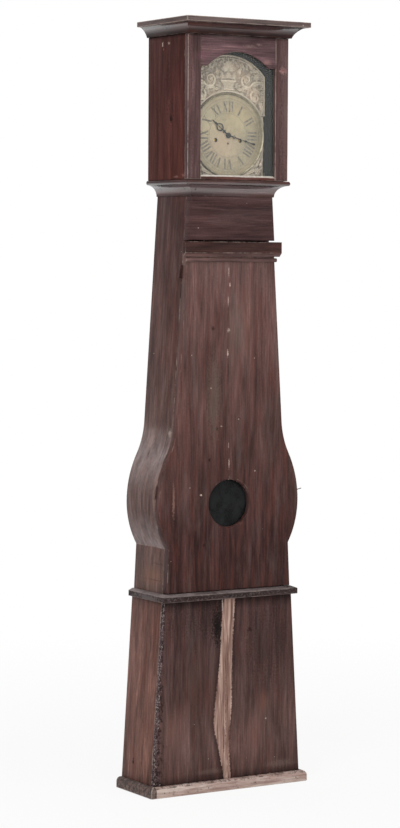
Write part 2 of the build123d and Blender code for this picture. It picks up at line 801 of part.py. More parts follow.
def wheel_on_barrel(at, teeth, module, toward):
    # great wheel, loose on the barrel's arbor behind its click
    with BuildPart() as wheel:
        with BuildSketch(depth_plane(great_back)):
            add(gear(teeth, module, *at, angle_between(at, toward)))
            add(crossings(module * (teeth / 2 - 3.5), *at), mode=Mode.SUBTRACT)
        extrude(amount=wheel_thickness)
        shaft(*at, 7, great_back - 3, great_back)
        shaft(*at, barrel_arbor_radius + running_clearance, great_back - 4,
              great_back + wheel_thickness + 1, Mode.SUBTRACT)
    return wheel


def barrel(at):
    # drum between two flanges, ratchet in front, winding square out to the dial
    with BuildPart() as drum:
        shaft(*at, pivot_radius, bar_back, cage_back + seat_gap)
        shaft(*at, barrel_arbor_radius, cage_back + seat_gap, bar_front + 1)
        shaft(*at, barrel_radius, barrel_back, barrel_front)
        shaft(*at, barrel_flange_radius, barrel_back - 2, barrel_back)
        shaft(*at, barrel_flange_radius, barrel_front, barrel_front + 2)
        with BuildSketch(depth_plane(bar_front)):
            with Locations(at):
                Rectangle(winding_square, winding_square)
        extrude(amount=dial_plate_depth - bar_front - 2)
    return drum


centre_wheel = train_wheel(centre_at, centre_teeth, centre_module, centre_wheel_back, third_at,
                           great_module, great_back, great_at)
with centre_wheel:
    # the centre arbor goes on through the front bar to carry the hands
    shaft(*centre_at, centre_pipe_radius, cage_front - seat_gap, minute_hand_depth + hand_thickness + 1)
    shaft(*centre_at, centre_pipe_radius + 2, cannon_back - 2.6, cannon_back - 1)
third_wheel = train_wheel(third_at, third_teeth, third_module, third_wheel_back, escape_at,
                          centre_module, centre_wheel_back, centre_at)
pin_wheel = train_wheel(pin_wheel_at, pin_wheel_teeth, pin_wheel_module, pin_wheel_back, warning_at,
                        strike_great_module, great_back, strike_great_at, rim=7)
with pin_wheel:
    with Locations(Location((pin_wheel_at[0], wall_y - pin_wheel_back, pin_wheel_at[1]), (-90, 0, 0))):
        with PolarLocations(lifting_pin_circle, lifting_pins):
            Cylinder(lifting_pin_radius, 3.5, align=(Align.CENTER, Align.CENTER, Align.MIN))
warning_wheel = train_wheel(warning_at, warning_teeth, warning_module, warning_wheel_back, fly_at,
                            pin_wheel_module, pin_wheel_back, pin_wheel_at)
great_wheel = wheel_on_barrel(great_at, great_teeth, great_module, centre_at)
strike_great_wheel = wheel_on_barrel(strike_great_at, strike_great_teeth, strike_great_module, pin_wheel_at)
going_barrel = barrel(great_at)
strike_barrel = barrel(strike_great_at)

with BuildPart() as escape_wheel:
    # raked teeth, one sloping flank and one on the radius
    escape_pitch = 2 * pi / escape_teeth
    shaft(*escape_at, arbor_radius, cage_back + seat_gap, cage_front - seat_gap)
    shaft(*escape_at, pivot_radius, bar_back, bar_front)
    with BuildSketch(depth_plane(escape_wheel_back)):
        with BuildLine():
            saw = []
            for tooth in range(escape_teeth):
                start = tooth * escape_pitch
                for radius, share in ((escape_radius - 4, 0.25), (escape_radius, 0.0), (escape_radius - 4, -0.1)):
                    angle = start - share * escape_pitch
                    saw.append((radius * cos(angle), escape_at[1] + radius * sin(angle)))
            Polyline(*saw, close=True)
        make_face()
        add(crossings(escape_radius - 6.5, *escape_at), mode=Mode.SUBTRACT)
    extrude(amount=2)
    with BuildSketch(depth_plane(third_wheel_back - 1)):
        add(gear(pinion_leaves, third_module, *escape_at,
                 angle_between(escape_at, third_at) + 180 / pinion_leaves, True))
    extrude(amount=wheel_thickness + 2)

with BuildPart() as fly:
    # two-bladed air brake on the last arbor of the strike
    shaft(*fly_at, arbor_radius, cage_back + seat_gap, cage_front - seat_gap)
    shaft(*fly_at, pivot_radius, bar_back, bar_front)
    with BuildSketch(depth_plane(warning_wheel_back - 1)):
        add(gear(pinion_leaves, warning_module, *fly_at,
                 angle_between(fly_at, warning_at) + 180 / pinion_leaves, True))
    extrude(amount=wheel_thickness + 2)
    with BuildSketch(depth_plane(warning_wheel_back + 8)):
        with Locations(fly_at):
            Rectangle(36, 0.8)
    extrude(amount=22)

# ---------------------------------------------------------------- motion work behind the dial
with BuildPart() as cannon_pinion:
    shaft(*centre_at, minute_pipe_radius, cannon_back, minute_hand_depth + hand_thickness)
    with BuildSketch(depth_plane(cannon_back)):
        add(gear(cannon_teeth, cannon_module, *centre_at, -90 + 180 / cannon_teeth, True))
    extrude(amount=wheel_thickness + 1)
    shaft(*centre_at, centre_pipe_radius + running_clearance, cannon_back - 1, minute_hand_depth + 3,
          Mode.SUBTRACT)

with BuildPart() as minute_wheel:
    with BuildSketch(depth_plane(cannon_back + 0.5)):
        add(gear(minute_wheel_teeth, cannon_module, *stud_at, 90))
    extrude(amount=fine_wheel_thickness)
    with BuildSketch(depth_plane(hour_wheel_back - 3.5)):
        add(gear(minute_pinion_teeth, hour_module, *stud_at, 90 + 180 / minute_pinion_teeth, True))
    extrude(amount=7)
    shaft(*stud_at, pivot_radius + running_clearance, cannon_back - 1, hour_wheel_back + 6, Mode.SUBTRACT)

with BuildPart() as hour_wheel:
    with BuildSketch(depth_plane(hour_wheel_back)):
        add(gear(hour_wheel_teeth, hour_module, *centre_at, -90))
    extrude(amount=fine_wheel_thickness)
    shaft(*centre_at, hour_pipe_radius, hour_wheel_back, hour_hand_depth + hand_thickness)
    shaft(*centre_at, minute_pipe_radius + running_clearance, hour_wheel_back - 1, hour_hand_depth + 3,
          Mode.SUBTRACT)

# ---------------------------------------------------------------- cage
bar_xs = (-winding_spread, 0, winding_spread, hammer_x)
post_x = cage_width / 2 - cage_post / 2
with BuildPart() as seat_board:
    with BuildSketch(Plane.XY.offset(cheek_top)):
        with Locations((0, wall_y - backboard_thickness - joint_gap)):
            Rectangle(seat_board_width, seat_board_depth, align=(Align.CENTER, Align.MAX))
            Rectangle(56, 38, align=(Align.CENTER, Align.MAX), mode=Mode.SUBTRACT)
        for side in (-1, 1):
            with Locations((side * (winding_spread + barrel_radius), wall_y - weight_depth)):
                SlotOverall(40, 16, rotation=90, mode=Mode.SUBTRACT)
    extrude(amount=seat_board_thickness)

with BuildPart() as cage_frame:
    for level in (seat_board_top, cage_top - cage_plate):
        with BuildSketch(Plane.XY.offset(level)):
            with Locations((0, wall_y - cage_back)):
                Rectangle(cage_width, cage_front - cage_back, align=(Align.CENTER, Align.MAX))
            if level == seat_board_top:
                for side in (-1, 1):
                    with Locations((side * (winding_spread + barrel_radius), wall_y - weight_depth)):
                        SlotOverall(40, 16, rotation=90, mode=Mode.SUBTRACT)
            else:
                with Locations((cage_width / 2, wall_y - bell_depth)):
                    Rectangle(2 * hammer_notch_reach, hammer_notch_width, mode=Mode.SUBTRACT)
        extrude(amount=cage_plate)
    with BuildSketch(Plane.XY.offset(seat_board_top)):
        with Locations((0, wall_y - (cage_back + cage_front) / 2)):
            with GridLocations(2 * post_x, cage_front - cage_back - cage_post, 2, 2):
                Rectangle(cage_post, cage_post)
    extrude(amount=cage_height)
    for side in (-1, 1):
        for level in (seat_board_top + 12, cage_top - 12):
            shaft(side * post_x, level, dial_post_radius, cage_front, dial_plate_depth)
    # bell post
    with Locations((0, wall_y - bell_depth, cage_top)):
        Cylinder(bell_post_radius, bell_rise + bell_height + 2, align=(Align.CENTER, Align.CENTER, Align.MIN))
        Cylinder(2 * bell_post_radius, bell_rise + bell_height - bell_wall - seat_gap,
                 align=(Align.CENTER, Align.CENTER, Align.MIN))

with BuildPart() as pivot_bars:
    for back in (bar_back, cage_front):
        with BuildSketch(depth_plane(back)):
            for x in bar_xs:
                with Locations((x, seat_board_top)):
                    Rectangle(pivot_bar_width, cage_height, align=(Align.CENTER, Align.MIN))
        extrude(amount=pivot_bar_thickness)
    for at in (centre_at, third_at, escape_at, pin_wheel_at, warning_at, fly_at, great_at, strike_great_at,
               hammer_at, anchor_at):
        shaft(*at, pivot_radius + running_clearance, bar_back, bar_front, Mode.SUBTRACT)
    shaft(*centre_at, centre_pipe_radius + running_clearance, cage_front, bar_front, Mode.SUBTRACT)
    shaft(*anchor_at, arbor_radius + running_clearance, bar_back, cage_back, Mode.SUBTRACT)
    for at in (great_at, strike_great_at):
        shaft(*at, barrel_arbor_radius + running_clearance, cage_front, bar_front, Mode.SUBTRACT)
    # fixed stud of the minute wheel
    shaft(*stud_at, pivot_radius, cage_front, hour_wheel_back + 5)
    shaft(*stud_at, pivot_radius + 1.5, bar_front, cannon_back)

with BuildPart() as bell:
    # a shallow cup, mouth down
    with BuildSketch(Plane.XZ.offset(bell_depth - wall_y)):
        with BuildLine():
            mouth = cage_top + bell_rise
            bore = bell_post_radius + running_clearance
            crown = mouth + bell_height
            outside = [(bell_radius, mouth), (bell_radius, mouth + bell_skirt), (bell_crown_radius, crown),
                       (bore, crown)]
            inside = [(bell_radius - bell_wall, mouth), (bell_radius - bell_wall, mouth + bell_skirt - bell_wall),
                      (bell_crown_radius - bell_wall, crown - bell_wall), (bore, crown - bell_wall)]
            Polyline(*outside, *reversed(inside), close=True)
        make_face()
    revolve(axis=Axis((0, wall_y - bell_depth, 0), (0, 0, 1)))

with BuildPart() as bell_hammer:
    head_x = bell_radius + 1
    head_level = cage_top + bell_rise + 6
    shaft(*hammer_at, arbor_radius, cage_back + seat_gap, cage_front - seat_gap)
    shaft(*hammer_at, pivot_radius, bar_back, bar_front)
    with BuildSketch(depth_plane(bell_depth - 2)):
        with BuildLine():
            Polyline((hammer_x - 3, hammer_at[1]), (hammer_x + 3, hammer_at[1]),
                     (head_x + 11, head_level + 3), (head_x + 5, head_level + 3), close=True)
        make_face()
        with Locations(hammer_at):
            Circle(4)
    extrude(amount=4)
    with Locations(Location((head_x, wall_y - bell_depth, head_level), (0, 90, 0))):
        Cylinder(6, 14, align=(Align.CENTER, Align.CENTER, Align.MIN))
    # tail that the wheel's pins lift
    with BuildSketch(depth_plane(pin_wheel_back - 3)):
        with BuildLine():
            tail = hammer_x - (winding_spread + lifting_pin_circle + lifting_pin_radius + 0.5)
            Polyline((hammer_x, hammer_at[1] - 3), (hammer_x, hammer_at[1] + 3),
                     (hammer_x - tail, hammer_at[1] + 1), (hammer_x - tail, hammer_at[1] - 1), close=True)
        make_face()
    extrude(amount=2.5)

# ---------------------------------------------------------------- pendulum
pallet_radius = escape_radius + pallet_clearance
with BuildPart() as anchor:
    # anchor on its arbor, and the crutch behind the back bar with a fork round the rod
    shaft(*anchor_at, arbor_radius, bar_back - 6, cage_front - seat_gap)
    shaft(*anchor_at, pivot_radius, cage_front - seat_gap, bar_front)
    with BuildSketch(depth_plane(escape_wheel_back - 1)):
        with Locations(anchor_at):
            Circle(5)
        with BuildLine():
            elbow = pallet_radius * sin(radians(45)) + 3
            Polyline((0, anchor_at[1] + 4), (elbow + 2, anchor_at[1] - 5), (elbow + 3, anchor_at[1] - 12),
                     (pallet_radius * sin(radians(45)), escape_at[1] + pallet_radius * cos(radians(45))),
                     (elbow - 3, anchor_at[1] - 9), (0, anchor_at[1] - 4), close=True)
        make_face()
        mirror(about=Plane.YZ)
    extrude(amount=4)
    with BuildSketch(depth_plane(bar_back - 6)):
        with Locations(anchor_at):
            Circle(4.5)
            Rectangle(5, crutch_length, align=(Align.CENTER, Align.MAX))
    extrude(amount=2.5)
    fork_level = anchor_at[1] - crutch_length + fork_height / 2
    fork_gap = rod_radius + seat_gap
    for side in (-1, 1):
        with Locations((side * (fork_gap + 1), wall_y - (bar_back - 3.5), fork_level)):
            Box(2, bar_back - 3.5 - pendulum_depth + 4, fork_height, align=(Align.CENTER, Align.MIN, Align.CENTER))
    with Locations((0, wall_y - (bar_back - 6), fork_level)):
        Box(2 * fork_gap + 4, 2.5, fork_height, align=(Align.CENTER, Align.MAX, Align.CENTER))

with BuildPart() as pendulum_rod:
    # thin suspension spring, its block, then a round rod down to the rating thread
    spring_bottom = anchor_at[1] - 28
    rod_bottom = lenticle_level - bob_radius - 34
    with Locations((0, wall_y - pendulum_depth, anchor_at[1])):
        Box(0.5, 8, 28, align=(Align.CENTER, Align.CENTER, Align.MAX))
    with Locations((0, wall_y - pendulum_depth, spring_bottom)):
        Box(7, 9, 12, align=(Align.CENTER, Align.CENTER, Align.MAX))
    with Locations((0, wall_y - pendulum_depth, rod_bottom)):
        Cylinder(rod_radius, spring_bottom - rod_bottom - 6, align=(Align.CENTER, Align.CENTER, Align.MIN))
    # rating nut that carries the bob
    with Locations((0, wall_y - pendulum_depth, lenticle_level - bob_radius - seat_gap)):
        Cylinder(9, 8, align=(Align.CENTER, Align.CENTER, Align.MAX))

with BuildPart() as pendulum_cock:
    # bracket off the cage's top plate; its jaws grip the suspension spring
    with BuildSketch(Plane.XY.offset(cage_top)):
        with Locations((0, wall_y - pendulum_depth + 8)):
            Rectangle(16, cage_back - pendulum_depth + 20, align=(Align.CENTER, Align.MAX))
    extrude(amount=4)
    with Locations((0, wall_y - pendulum_depth, anchor_at[1] + seat_gap)):
        Box(8, 10, cage_top - anchor_at[1] - seat_gap, align=(Align.CENTER, Align.CENTER, Align.MIN))

with BuildPart() as pendulum_bob:
    # a brass lens on the rod
    with BuildSketch(Plane.XY.offset(lenticle_level)):
        bob_y = wall_y - pendulum_depth
        half_face = [(0, bob_half_thickness), (bob_flat_radius, bob_half_thickness), (bob_radius, bob_edge / 2)]
        with BuildLine():
            Polyline(*[(x, bob_y - reach) for x, reach in half_face],
                     *[(x, bob_y + reach) for x, reach in reversed(half_face)], close=True)
        make_face()
    revolve(axis=Axis((0, 0, lenticle_level), (0, 1, 0)))
    with Locations((0, wall_y - pendulum_depth, lenticle_level)):
        Cylinder(rod_radius + running_clearance, 2 * bob_radius + 10, mode=Mode.SUBTRACT)

# ---------------------------------------------------------------- weights and their cords
hook_top = cheek_top - weight_hook_drop


def hung_weight(x):
    with BuildPart() as weight:
        with Locations((x, wall_y - weight_depth, hook_top - 20)):
            Cylinder(weight_radius, weight_height, align=(Align.CENTER, Align.CENTER, Align.MAX))
            Cylinder(2, 20, align=(Align.CENTER, Align.CENTER, Align.MIN))
    return weight


def hung_cord(x):
    # straight from the side of the drum down to the weight's hook
    with BuildPart() as cord:
        with Locations((x, wall_y - weight_depth, hook_top + seat_gap)):
            Cylinder(cord_radius, winding_level - hook_top - seat_gap,
                     align=(Align.CENTER, Align.CENTER, Align.MIN))
    return cord


cord_x = winding_spread + barrel_radius + cord_radius + 0.1
going_weight = hung_weight(-cord_x)
strike_weight = hung_weight(cord_x)
going_cord = hung_cord(-cord_x)
strike_cord = hung_cord(cord_x)

# ---------------------------------------------------------------- every piece, by name
pieces = {
    "backboard": backboard, "trunk_side_left": trunk_sides["left"],
    "trunk_side_right": trunk_sides["right"], "frieze_panel": frieze_panel,
    "trunk_bottom_rail": trunk_bottom_rail, "hood_support_moulding": hood_moulding,
    "waist_moulding": waist_moulding, "plinth_front": plinth_front, "plinth_sides": plinth_sides,
    "base_moulding": base_moulding, "seat_board": seat_board,
    "trunk_door_panel": trunk_door_panel, "trunk_door_moulding": trunk_door_moulding,
    "lenticle_glass": lenticle_glass, "trunk_hinge_fixed": trunk_hinge_fixed,
    "trunk_hinge_door": trunk_hinge_door, "hook_screw": hook_screw, "door_hook": door_hook,
    "hook_pin": hook_pin,
    "hood_sides": hood_sides, "hood_top_board": hood_top_board, "cornice_cove": cornice_cove,
    "cornice_board": cornice_board, "hood_door_stiles": hood_door_stiles,
    "hood_door_top_rail": hood_door_top_rail, "hood_door_bottom_rail": hood_door_bottom_rail,
    "hood_door_glass": hood_door_glass, "hood_hinge_fixed": hood_hinge_fixed,
    "hood_hinge_door": hood_hinge_door,
    "dial_plate": dial_plate, "dial_pediment": dial_pediment, "chapter_disc": chapter_disc,
    "dial_bezel": dial_bezel, "hour_hand": hour_hand, "minute_hand": minute_hand,
    "cage_frame": cage_frame, "pivot_bars": pivot_bars, "bell": bell, "bell_hammer": bell_hammer,
    "centre_wheel": centre_wheel, "going_great_wheel": great_wheel, "third_wheel": third_wheel,
    "escape_wheel": escape_wheel, "going_barrel": going_barrel, "going_cord": going_cord,
    "going_weight": going_weight, "strike_great_wheel": strike_great_wheel, "pin_wheel": pin_wheel,
    "warning_wheel": warning_wheel, "fly": fly, "strike_barrel": strike_barrel,
    "strike_cord": strike_cord, "strike_weight": strike_weight, "cannon_pinion": cannon_pinion,
    "minute_wheel": minute_wheel, "hour_wheel": hour_wheel, "anchor": anchor,
    "pendulum_cock": pendulum_cock, "pendulum_rod": pendulum_rod, "pendulum_bob": pendulum_bob,
}

os.makedirs("parts", exist_ok=True)
for label, piece in pieces.items():
    piece.part.label = label
    export_step(piece.part, f"parts/{label}.step")
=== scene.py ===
import json
import math
import bmesh
import bpy
import numpy as np
from mathutils import Matrix, Vector


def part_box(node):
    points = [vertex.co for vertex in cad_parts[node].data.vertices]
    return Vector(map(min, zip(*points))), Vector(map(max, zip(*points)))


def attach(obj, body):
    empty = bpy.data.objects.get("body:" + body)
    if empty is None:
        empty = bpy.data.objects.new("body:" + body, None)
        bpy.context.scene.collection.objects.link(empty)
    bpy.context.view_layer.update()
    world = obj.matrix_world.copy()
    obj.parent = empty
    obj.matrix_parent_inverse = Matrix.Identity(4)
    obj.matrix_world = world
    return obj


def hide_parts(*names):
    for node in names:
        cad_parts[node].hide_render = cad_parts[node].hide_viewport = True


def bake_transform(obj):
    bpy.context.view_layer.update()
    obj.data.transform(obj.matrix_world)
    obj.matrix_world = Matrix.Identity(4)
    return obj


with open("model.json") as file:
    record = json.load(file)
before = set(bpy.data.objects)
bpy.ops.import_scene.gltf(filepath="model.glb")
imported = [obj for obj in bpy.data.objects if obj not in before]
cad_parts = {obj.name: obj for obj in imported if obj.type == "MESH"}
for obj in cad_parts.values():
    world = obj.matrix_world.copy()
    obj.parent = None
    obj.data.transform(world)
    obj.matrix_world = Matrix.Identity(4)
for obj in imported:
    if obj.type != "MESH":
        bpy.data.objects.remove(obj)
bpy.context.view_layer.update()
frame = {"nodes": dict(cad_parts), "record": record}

nodes = frame["nodes"]
bodyOf = {node: body for body, names in frame["record"]["behaviour"]["bodies"].items() for node in names}
mm = 0.001
smoothBelow = math.radians(38)  # faces that meet at less than this are shaded as one
print("frame loaded,", len(nodes), "nodes")

camera = {"place": (-4.0899, -6.4970, 1.6079), "forward": (0.52458, 0.84910, -0.06198), "rollDegrees": 0.34,
          "focalPixels": 2558.1, "longSidePixels": 828, "sensorMm": 36, "clip": (0.1, 60)}


def makeCamera():
    forward = Vector(camera["forward"]).normalized()
    right = forward.cross(Vector((0, 0, 1))).normalized()
    up = right.cross(forward)
    roll = math.radians(camera["rollDegrees"])
    tiltedRight = math.cos(roll) * right + math.sin(roll) * up
    tiltedUp = math.cos(roll) * up - math.sin(roll) * right
    data = bpy.data.cameras.new("camera")
    data.sensor_width = camera["sensorMm"]  # the long side, which is the height here
    data.lens = camera["focalPixels"] / camera["longSidePixels"] * data.sensor_width
    data.clip_start, data.clip_end = camera["clip"]
    item = bpy.data.objects.new("camera", data)
    turned = Matrix((tiltedRight, tiltedUp, -forward)).transposed()
    item.matrix_world = Matrix.Translation(camera["place"]) @ turned.to_4x4()
    bpy.context.scene.collection.objects.link(item)
    bpy.context.scene.camera = item


makeCamera()


def hexColour(code):
    # sRGB hex to the linear values that shaders take
    channels = [int(code[i:i + 2], 16) / 255 for i in (1, 3, 5)]
    return tuple(c / 12.92 if c <= 0.04045 else ((c + 0.055) / 1.055) ** 2.4 for c in channels) + (1.0,)


def addNode(tree, kind, inputs=None, stops=(), **settings):
    # a node with its settings, its ramp stops, and its inputs as values or as links
    node = tree.nodes.new(kind)
    for name, value in settings.items():
        setattr(node, name, value)
    for key, value in (inputs or {}).items():
        if isinstance(value, bpy.types.Node):
            value = next(socket for socket in value.outputs if socket.enabled)
        if isinstance(value, bpy.types.NodeSocket):
            tree.links.new(value, node.inputs[key])
        else:
            node.inputs[key].default_value = value
    for index, (position, value) in enumerate(stops):
        elements = node.color_ramp.elements
        if index == 0:
            elements.remove(elements[1])
        element = elements.new(position) if index else elements[0]
        element.position = position
        element.color = hexColour(value) if isinstance(value, str) else (value, value, value, 1)
    return node


def newMaterial(name):
    material = bpy.data.materials.new(name)
    material.use_nodes = True
    return material, material.node_tree, material.node_tree.nodes["Principled BSDF"]


def finishNode(node, material):
    slots = nodes[node].data.materials
    slots.clear()
    slots.append(material)


def placePiece(name, mesh, material, body, replaced=(), smooth=False):
    item = bpy.data.objects.new(name, mesh)
    bpy.context.scene.collection.objects.link(item)
    mesh.materials.clear()
    mesh.materials.append(material)
    mesh.polygons.foreach_set("use_smooth", [smooth] * len(mesh.polygons))
    if smooth:
        mesh.set_sharp_from_angle(angle=smoothBelow)
    if replaced:
        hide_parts(*replaced)
    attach(item, body)
    return item


def meshFrom(name, vertices, faces):
    mesh = bpy.data.meshes.new(name)
    mesh.from_pydata([tuple(map(float, v)) for v in vertices], [], faces)
    mesh.update()
    return mesh


# Pine under an old red-brown stain and wax: soft patches and hairlines along the grain, warm where the
# stain is thin, a grey bloom of wax and dust with a painted sheen on sloping faces, pale wood where edges have
# rubbed through.
# Widths are in millimetres across the grain, and "drawn" is how many times longer a patch is along it.
# The hairlines of real pine are near 1 mm apart and are drawn coarser, so that they show.
stainedPine = {
    "layers": {
        "broad": dict(width=34, drawn=8, share=0.48, detail=6, roughness=0.66, distortion=0.4),
        "streaks": dict(width=9, drawn=18, share=0.24, detail=5, roughness=0.68, distortion=0.1),
        "hairs": dict(width=2.6, drawn=30, share=0.16, detail=2, roughness=0.5, distortion=0.0),
        "crumbs": dict(width=6, drawn=1, share=0.12, detail=5, roughness=0.72, distortion=0.0)},
    # inside is near black: painted shade for the hood's inner faces
    "contrast": 420, "middle": 0.5, "inside": "#1b1a19",
    "warm": dict(colour="#78443a", width=16, drawn=12, low=0.48, high=0.68),
    "haze": dict(colour="#736663", width=30, drawn=7, low=0.50, high=0.70),
    # the bloom is wax and dust, and a painted sheen that lightens faces which slope up or down
    "bloomAndSheen": dict(colour="#a39694", width=20, drawn=5, low=0.30, high=0.64, slope=(0.10, 0.55)),
    "worn": dict(colour="#ad9b92", reach=4, width=60, low=0.62, high=0.76, shift=0.26, least=0.35, more=0.6),
    "fleck": dict(colour="#c4b4ab", spacing=17, size=0.16, share=0.10, strength=0.6),
    "shine": dict(polished=0.27, crumbs=0.3, worn=0.3), "polish": dict(roughness=0.12, ior=1.8),
    "relief": dict(strength=0.4, depth=0.8, streaks=0.6),
}
markEdge = {"ragged": 3.6, "from": 2.2, "to": 2.8}


def alongGrain(tree, place, upright, drawn):
    # space drawn out along the grain, so that a round spot becomes a streak
    if drawn == 1:
        return place
    scale = (1, 1, 1 / drawn) if upright else (1 / drawn, 1 / drawn, 1)
    return addNode(tree, "ShaderNodeMapping", {"Vector": place, "Scale": scale})


def patches(tree, place, width, low, high, detail=6, roughness=0.7):
    # a mask of cloudy patches of about that width, white above the high value
    cloud = addNode(tree, "ShaderNodeTexNoise", {"Vector": place, "Scale": 1 / width, "Detail": detail,
                    "Roughness": roughness})
    return addNode(tree, "ShaderNodeValToRGB", {"Fac": cloud}, [(low, 0.0), (high, 1.0)])


def paintOver(tree, colour, code, mask, strength=1.0):
    # a second colour laid over the first where the mask is white
    amount = addNode(tree, "ShaderNodeMath", {0: mask, 1: strength}, operation="MULTIPLY")
    return addNode(tree, "ShaderNodeMix", {0: amount, 6: colour, 7: hexColour(code)}, data_type="RGBA")


def byHeight(tree, apart, steps):
    # a colour or a weight that changes with the height above the floor in millimetres
    if isinstance(steps, str):
        steps = [(0, steps), (3000, steps)]
    low, high = steps[0][0], steps[-1][0]
    level = addNode(tree, "ShaderNodeMapRange", {"Value": apart.outputs["Z"], "From Min": low * mm,
                    "From Max": high * mm})
    return addNode(tree, "ShaderNodeValToRGB", {"Fac": level},
                   [((height - low) / (high - low), value) for height, value in steps])


def addMark(tree, apart, crumbs, colour, axis, across, level, halfWidth, halfHeight, code, strength):
    # one knot, stain or chip, or a painted highlight or painted shade, at a chosen place, in millimetres, with
    # a ragged outline
    sideways = addNode(tree, "ShaderNodeMapRange", {"Value": apart.outputs[axis],
                       "From Min": (across - halfWidth) * mm, "From Max": (across + halfWidth) * mm,
                       "To Min": -1.0, "To Max": 1.0}, clamp=False)
    upwards = addNode(tree, "ShaderNodeMapRange", {"Value": apart.outputs["Z"],
                      "From Min": (level - halfHeight) * mm, "From Max": (level + halfHeight) * mm,
                      "To Min": -1.0, "To Max": 1.0}, clamp=False)
    offset = addNode(tree, "ShaderNodeCombineXYZ", {0: sideways, 1: upwards})
    reach = addNode(tree, "ShaderNodeVectorMath", {0: offset}, operation="LENGTH")
    ragged = addNode(tree, "ShaderNodeMath", {0: crumbs, 1: markEdge["ragged"], 2: reach},
                     operation="MULTIPLY_ADD")
    inside = addNode(tree, "ShaderNodeMapRange", {"Value": ragged, "From Min": markEdge["from"],
                     "From Max": markEdge["to"], "To Min": 1.0, "To Max": 0.0})
    return paintOver(tree, colour, code, inside, strength)


def addScar(tree, apart, layers, colour, scar):
    # a long bare streak down the plinth, its two sides given level by level
    (low, high), reach, soft = scar["levels"], scar["reach"], scar["soft"]
    level = addNode(tree, "ShaderNodeMapRange", {"Value": apart.outputs["Z"], "From Min": low * mm,
                    "From Max": high * mm})
    across = addNode(tree, "ShaderNodeMath", {0: layers["crumbs"], 1: scar["ragged"] * mm,
                     2: apart.outputs["X"]}, operation="MULTIPLY_ADD")
    pushed = scar["ragged"] / 2  # what the ragged edge adds on average
    masks = {}
    for side, sign in (("left", 1), ("right", -1)):
        curve = addNode(tree, "ShaderNodeFloatCurve", {"Value": level})
        points = curve.mapping.curves[0].points
        route = [(position, offset / reach / 2 + 0.5) for position, offset in scar[side]]
        points[0].location, points[1].location = route[0], route[-1]
        for spot in route[1:-1]:
            points.new(*spot)
        curve.mapping.update()
        line = addNode(tree, "ShaderNodeMapRange", {"Value": curve, "To Min": (pushed - reach) * mm,
                       "To Max": (pushed + reach) * mm})
        beyond = addNode(tree, "ShaderNodeMath", {0: across, 1: line}, operation="SUBTRACT")
        masks[side] = addNode(tree, "ShaderNodeMapRange", {"Value": beyond, "From Min": -sign * soft * mm,
                              "From Max": sign * soft * mm})
        masks[side + "Margin"] = addNode(tree, "ShaderNodeMapRange", {
            "Value": beyond, "From Min": -sign * scar["margin"][side] * mm, "From Max": 0.0})
    edge = addNode(tree, "ShaderNodeMath", {0: masks["leftMargin"], 1: masks["rightMargin"]},
                   operation="MULTIPLY")
    colour = paintOver(tree, colour, scar["edge"], edge, scar["edgeStrength"])
    inside = addNode(tree, "ShaderNodeMath", {0: masks["left"], 1: masks["right"]}, operation="MULTIPLY")
    wood = addNode(tree, "ShaderNodeValToRGB", {"Fac": layers["streaks"]}, scar["wood"])
    lines = addNode(tree, "ShaderNodeValToRGB", {"Fac": layers["hairs"]}, scar["lines"])
    wood = addNode(tree, "ShaderNodeMix", {0: scar["lineStrength"], 6: wood, 7: lines}, data_type="RGBA",
                   blend_type="MULTIPLY")
    colour = addNode(tree, "ShaderNodeMix", {0: inside, 6: colour, 7: wood}, data_type="RGBA")
    for mark in scar["cracks"]:
        colour = addMark(tree, apart, layers["crumbs"], colour, *mark)
    return colour


def addWornCorner(tree, place, apart, colour, corner):
    # flaking beside the plinth's front left edge, wider and denser towards the floor
    low, high = corner["levels"]
    level = addNode(tree, "ShaderNodeMapRange", {"Value": apart.outputs["Z"], "From Min": low * mm,
                    "From Max": high * mm, "To Min": 1.0, "To Max": 0.0})
    edgeAt = addNode(tree, "ShaderNodeMapRange", {"Value": level, "To Min": -corner["top"] * mm,
                     "To Max": -corner["foot"] * mm})
    away = addNode(tree, "ShaderNodeMath", {0: apart.outputs["X"], 1: edgeAt}, operation="SUBTRACT")
    spread = addNode(tree, "ShaderNodeMath", {0: level, 1: corner["spread"]}, operation="POWER")
    width = addNode(tree, "ShaderNodeMapRange", {"Value": spread, "To Min": corner["narrow"] * mm,
                    "To Max": corner["wide"] * mm})
    share = addNode(tree, "ShaderNodeMath", {0: away, 1: width}, operation="DIVIDE")
    near = addNode(tree, "ShaderNodeMapRange", {"Value": share, "From Min": 0.0, "From Max": 1.0,
                   "To Min": corner["gather"], "To Max": -corner["gather"]}, clamp=False)
    for size, code, low, high, strength in corner["coats"]:
        cloud = addNode(tree, "ShaderNodeTexNoise", {"Vector": place, "Scale": 1 / (size * mm), "Detail": 5,
                        "Roughness": 0.7})
        total = addNode(tree, "ShaderNodeMath", {0: cloud, 1: near}, operation="ADD")
        mask = addNode(tree, "ShaderNodeValToRGB", {"Fac": total}, [(low, 0.0), (high, 1.0)])
        colour = paintOver(tree, colour, code, mask, strength)
    return colour


def addTint(tree, place, upright, colour, tint, strength):
    look = stainedPine[tint]
    cloudy = patches(tree, alongGrain(tree, place, upright, look["drawn"]), look["width"] * mm,
                     look["low"], look["high"])
    # painted sheen: brighter on faces that tilt up or down, together with the wax bloom
    if "slope" in look:  # only on faces that slope
        geometry = addNode(tree, "ShaderNodeNewGeometry").outputs["Normal"]
        upwards = addNode(tree, "ShaderNodeSeparateXYZ", {"Vector": geometry}).outputs["Z"]
        slope = addNode(tree, "ShaderNodeMath", {0: upwards}, operation="ABSOLUTE")
        sloping = addNode(tree, "ShaderNodeMapRange", {"Value": slope, "From Min": look["slope"][0],
                          "From Max": look["slope"][1]})
        cloudy = addNode(tree, "ShaderNodeMath", {0: sloping, 1: cloudy}, operation="MULTIPLY")
    return paintOver(tree, colour, look["colour"], cloudy, strength)


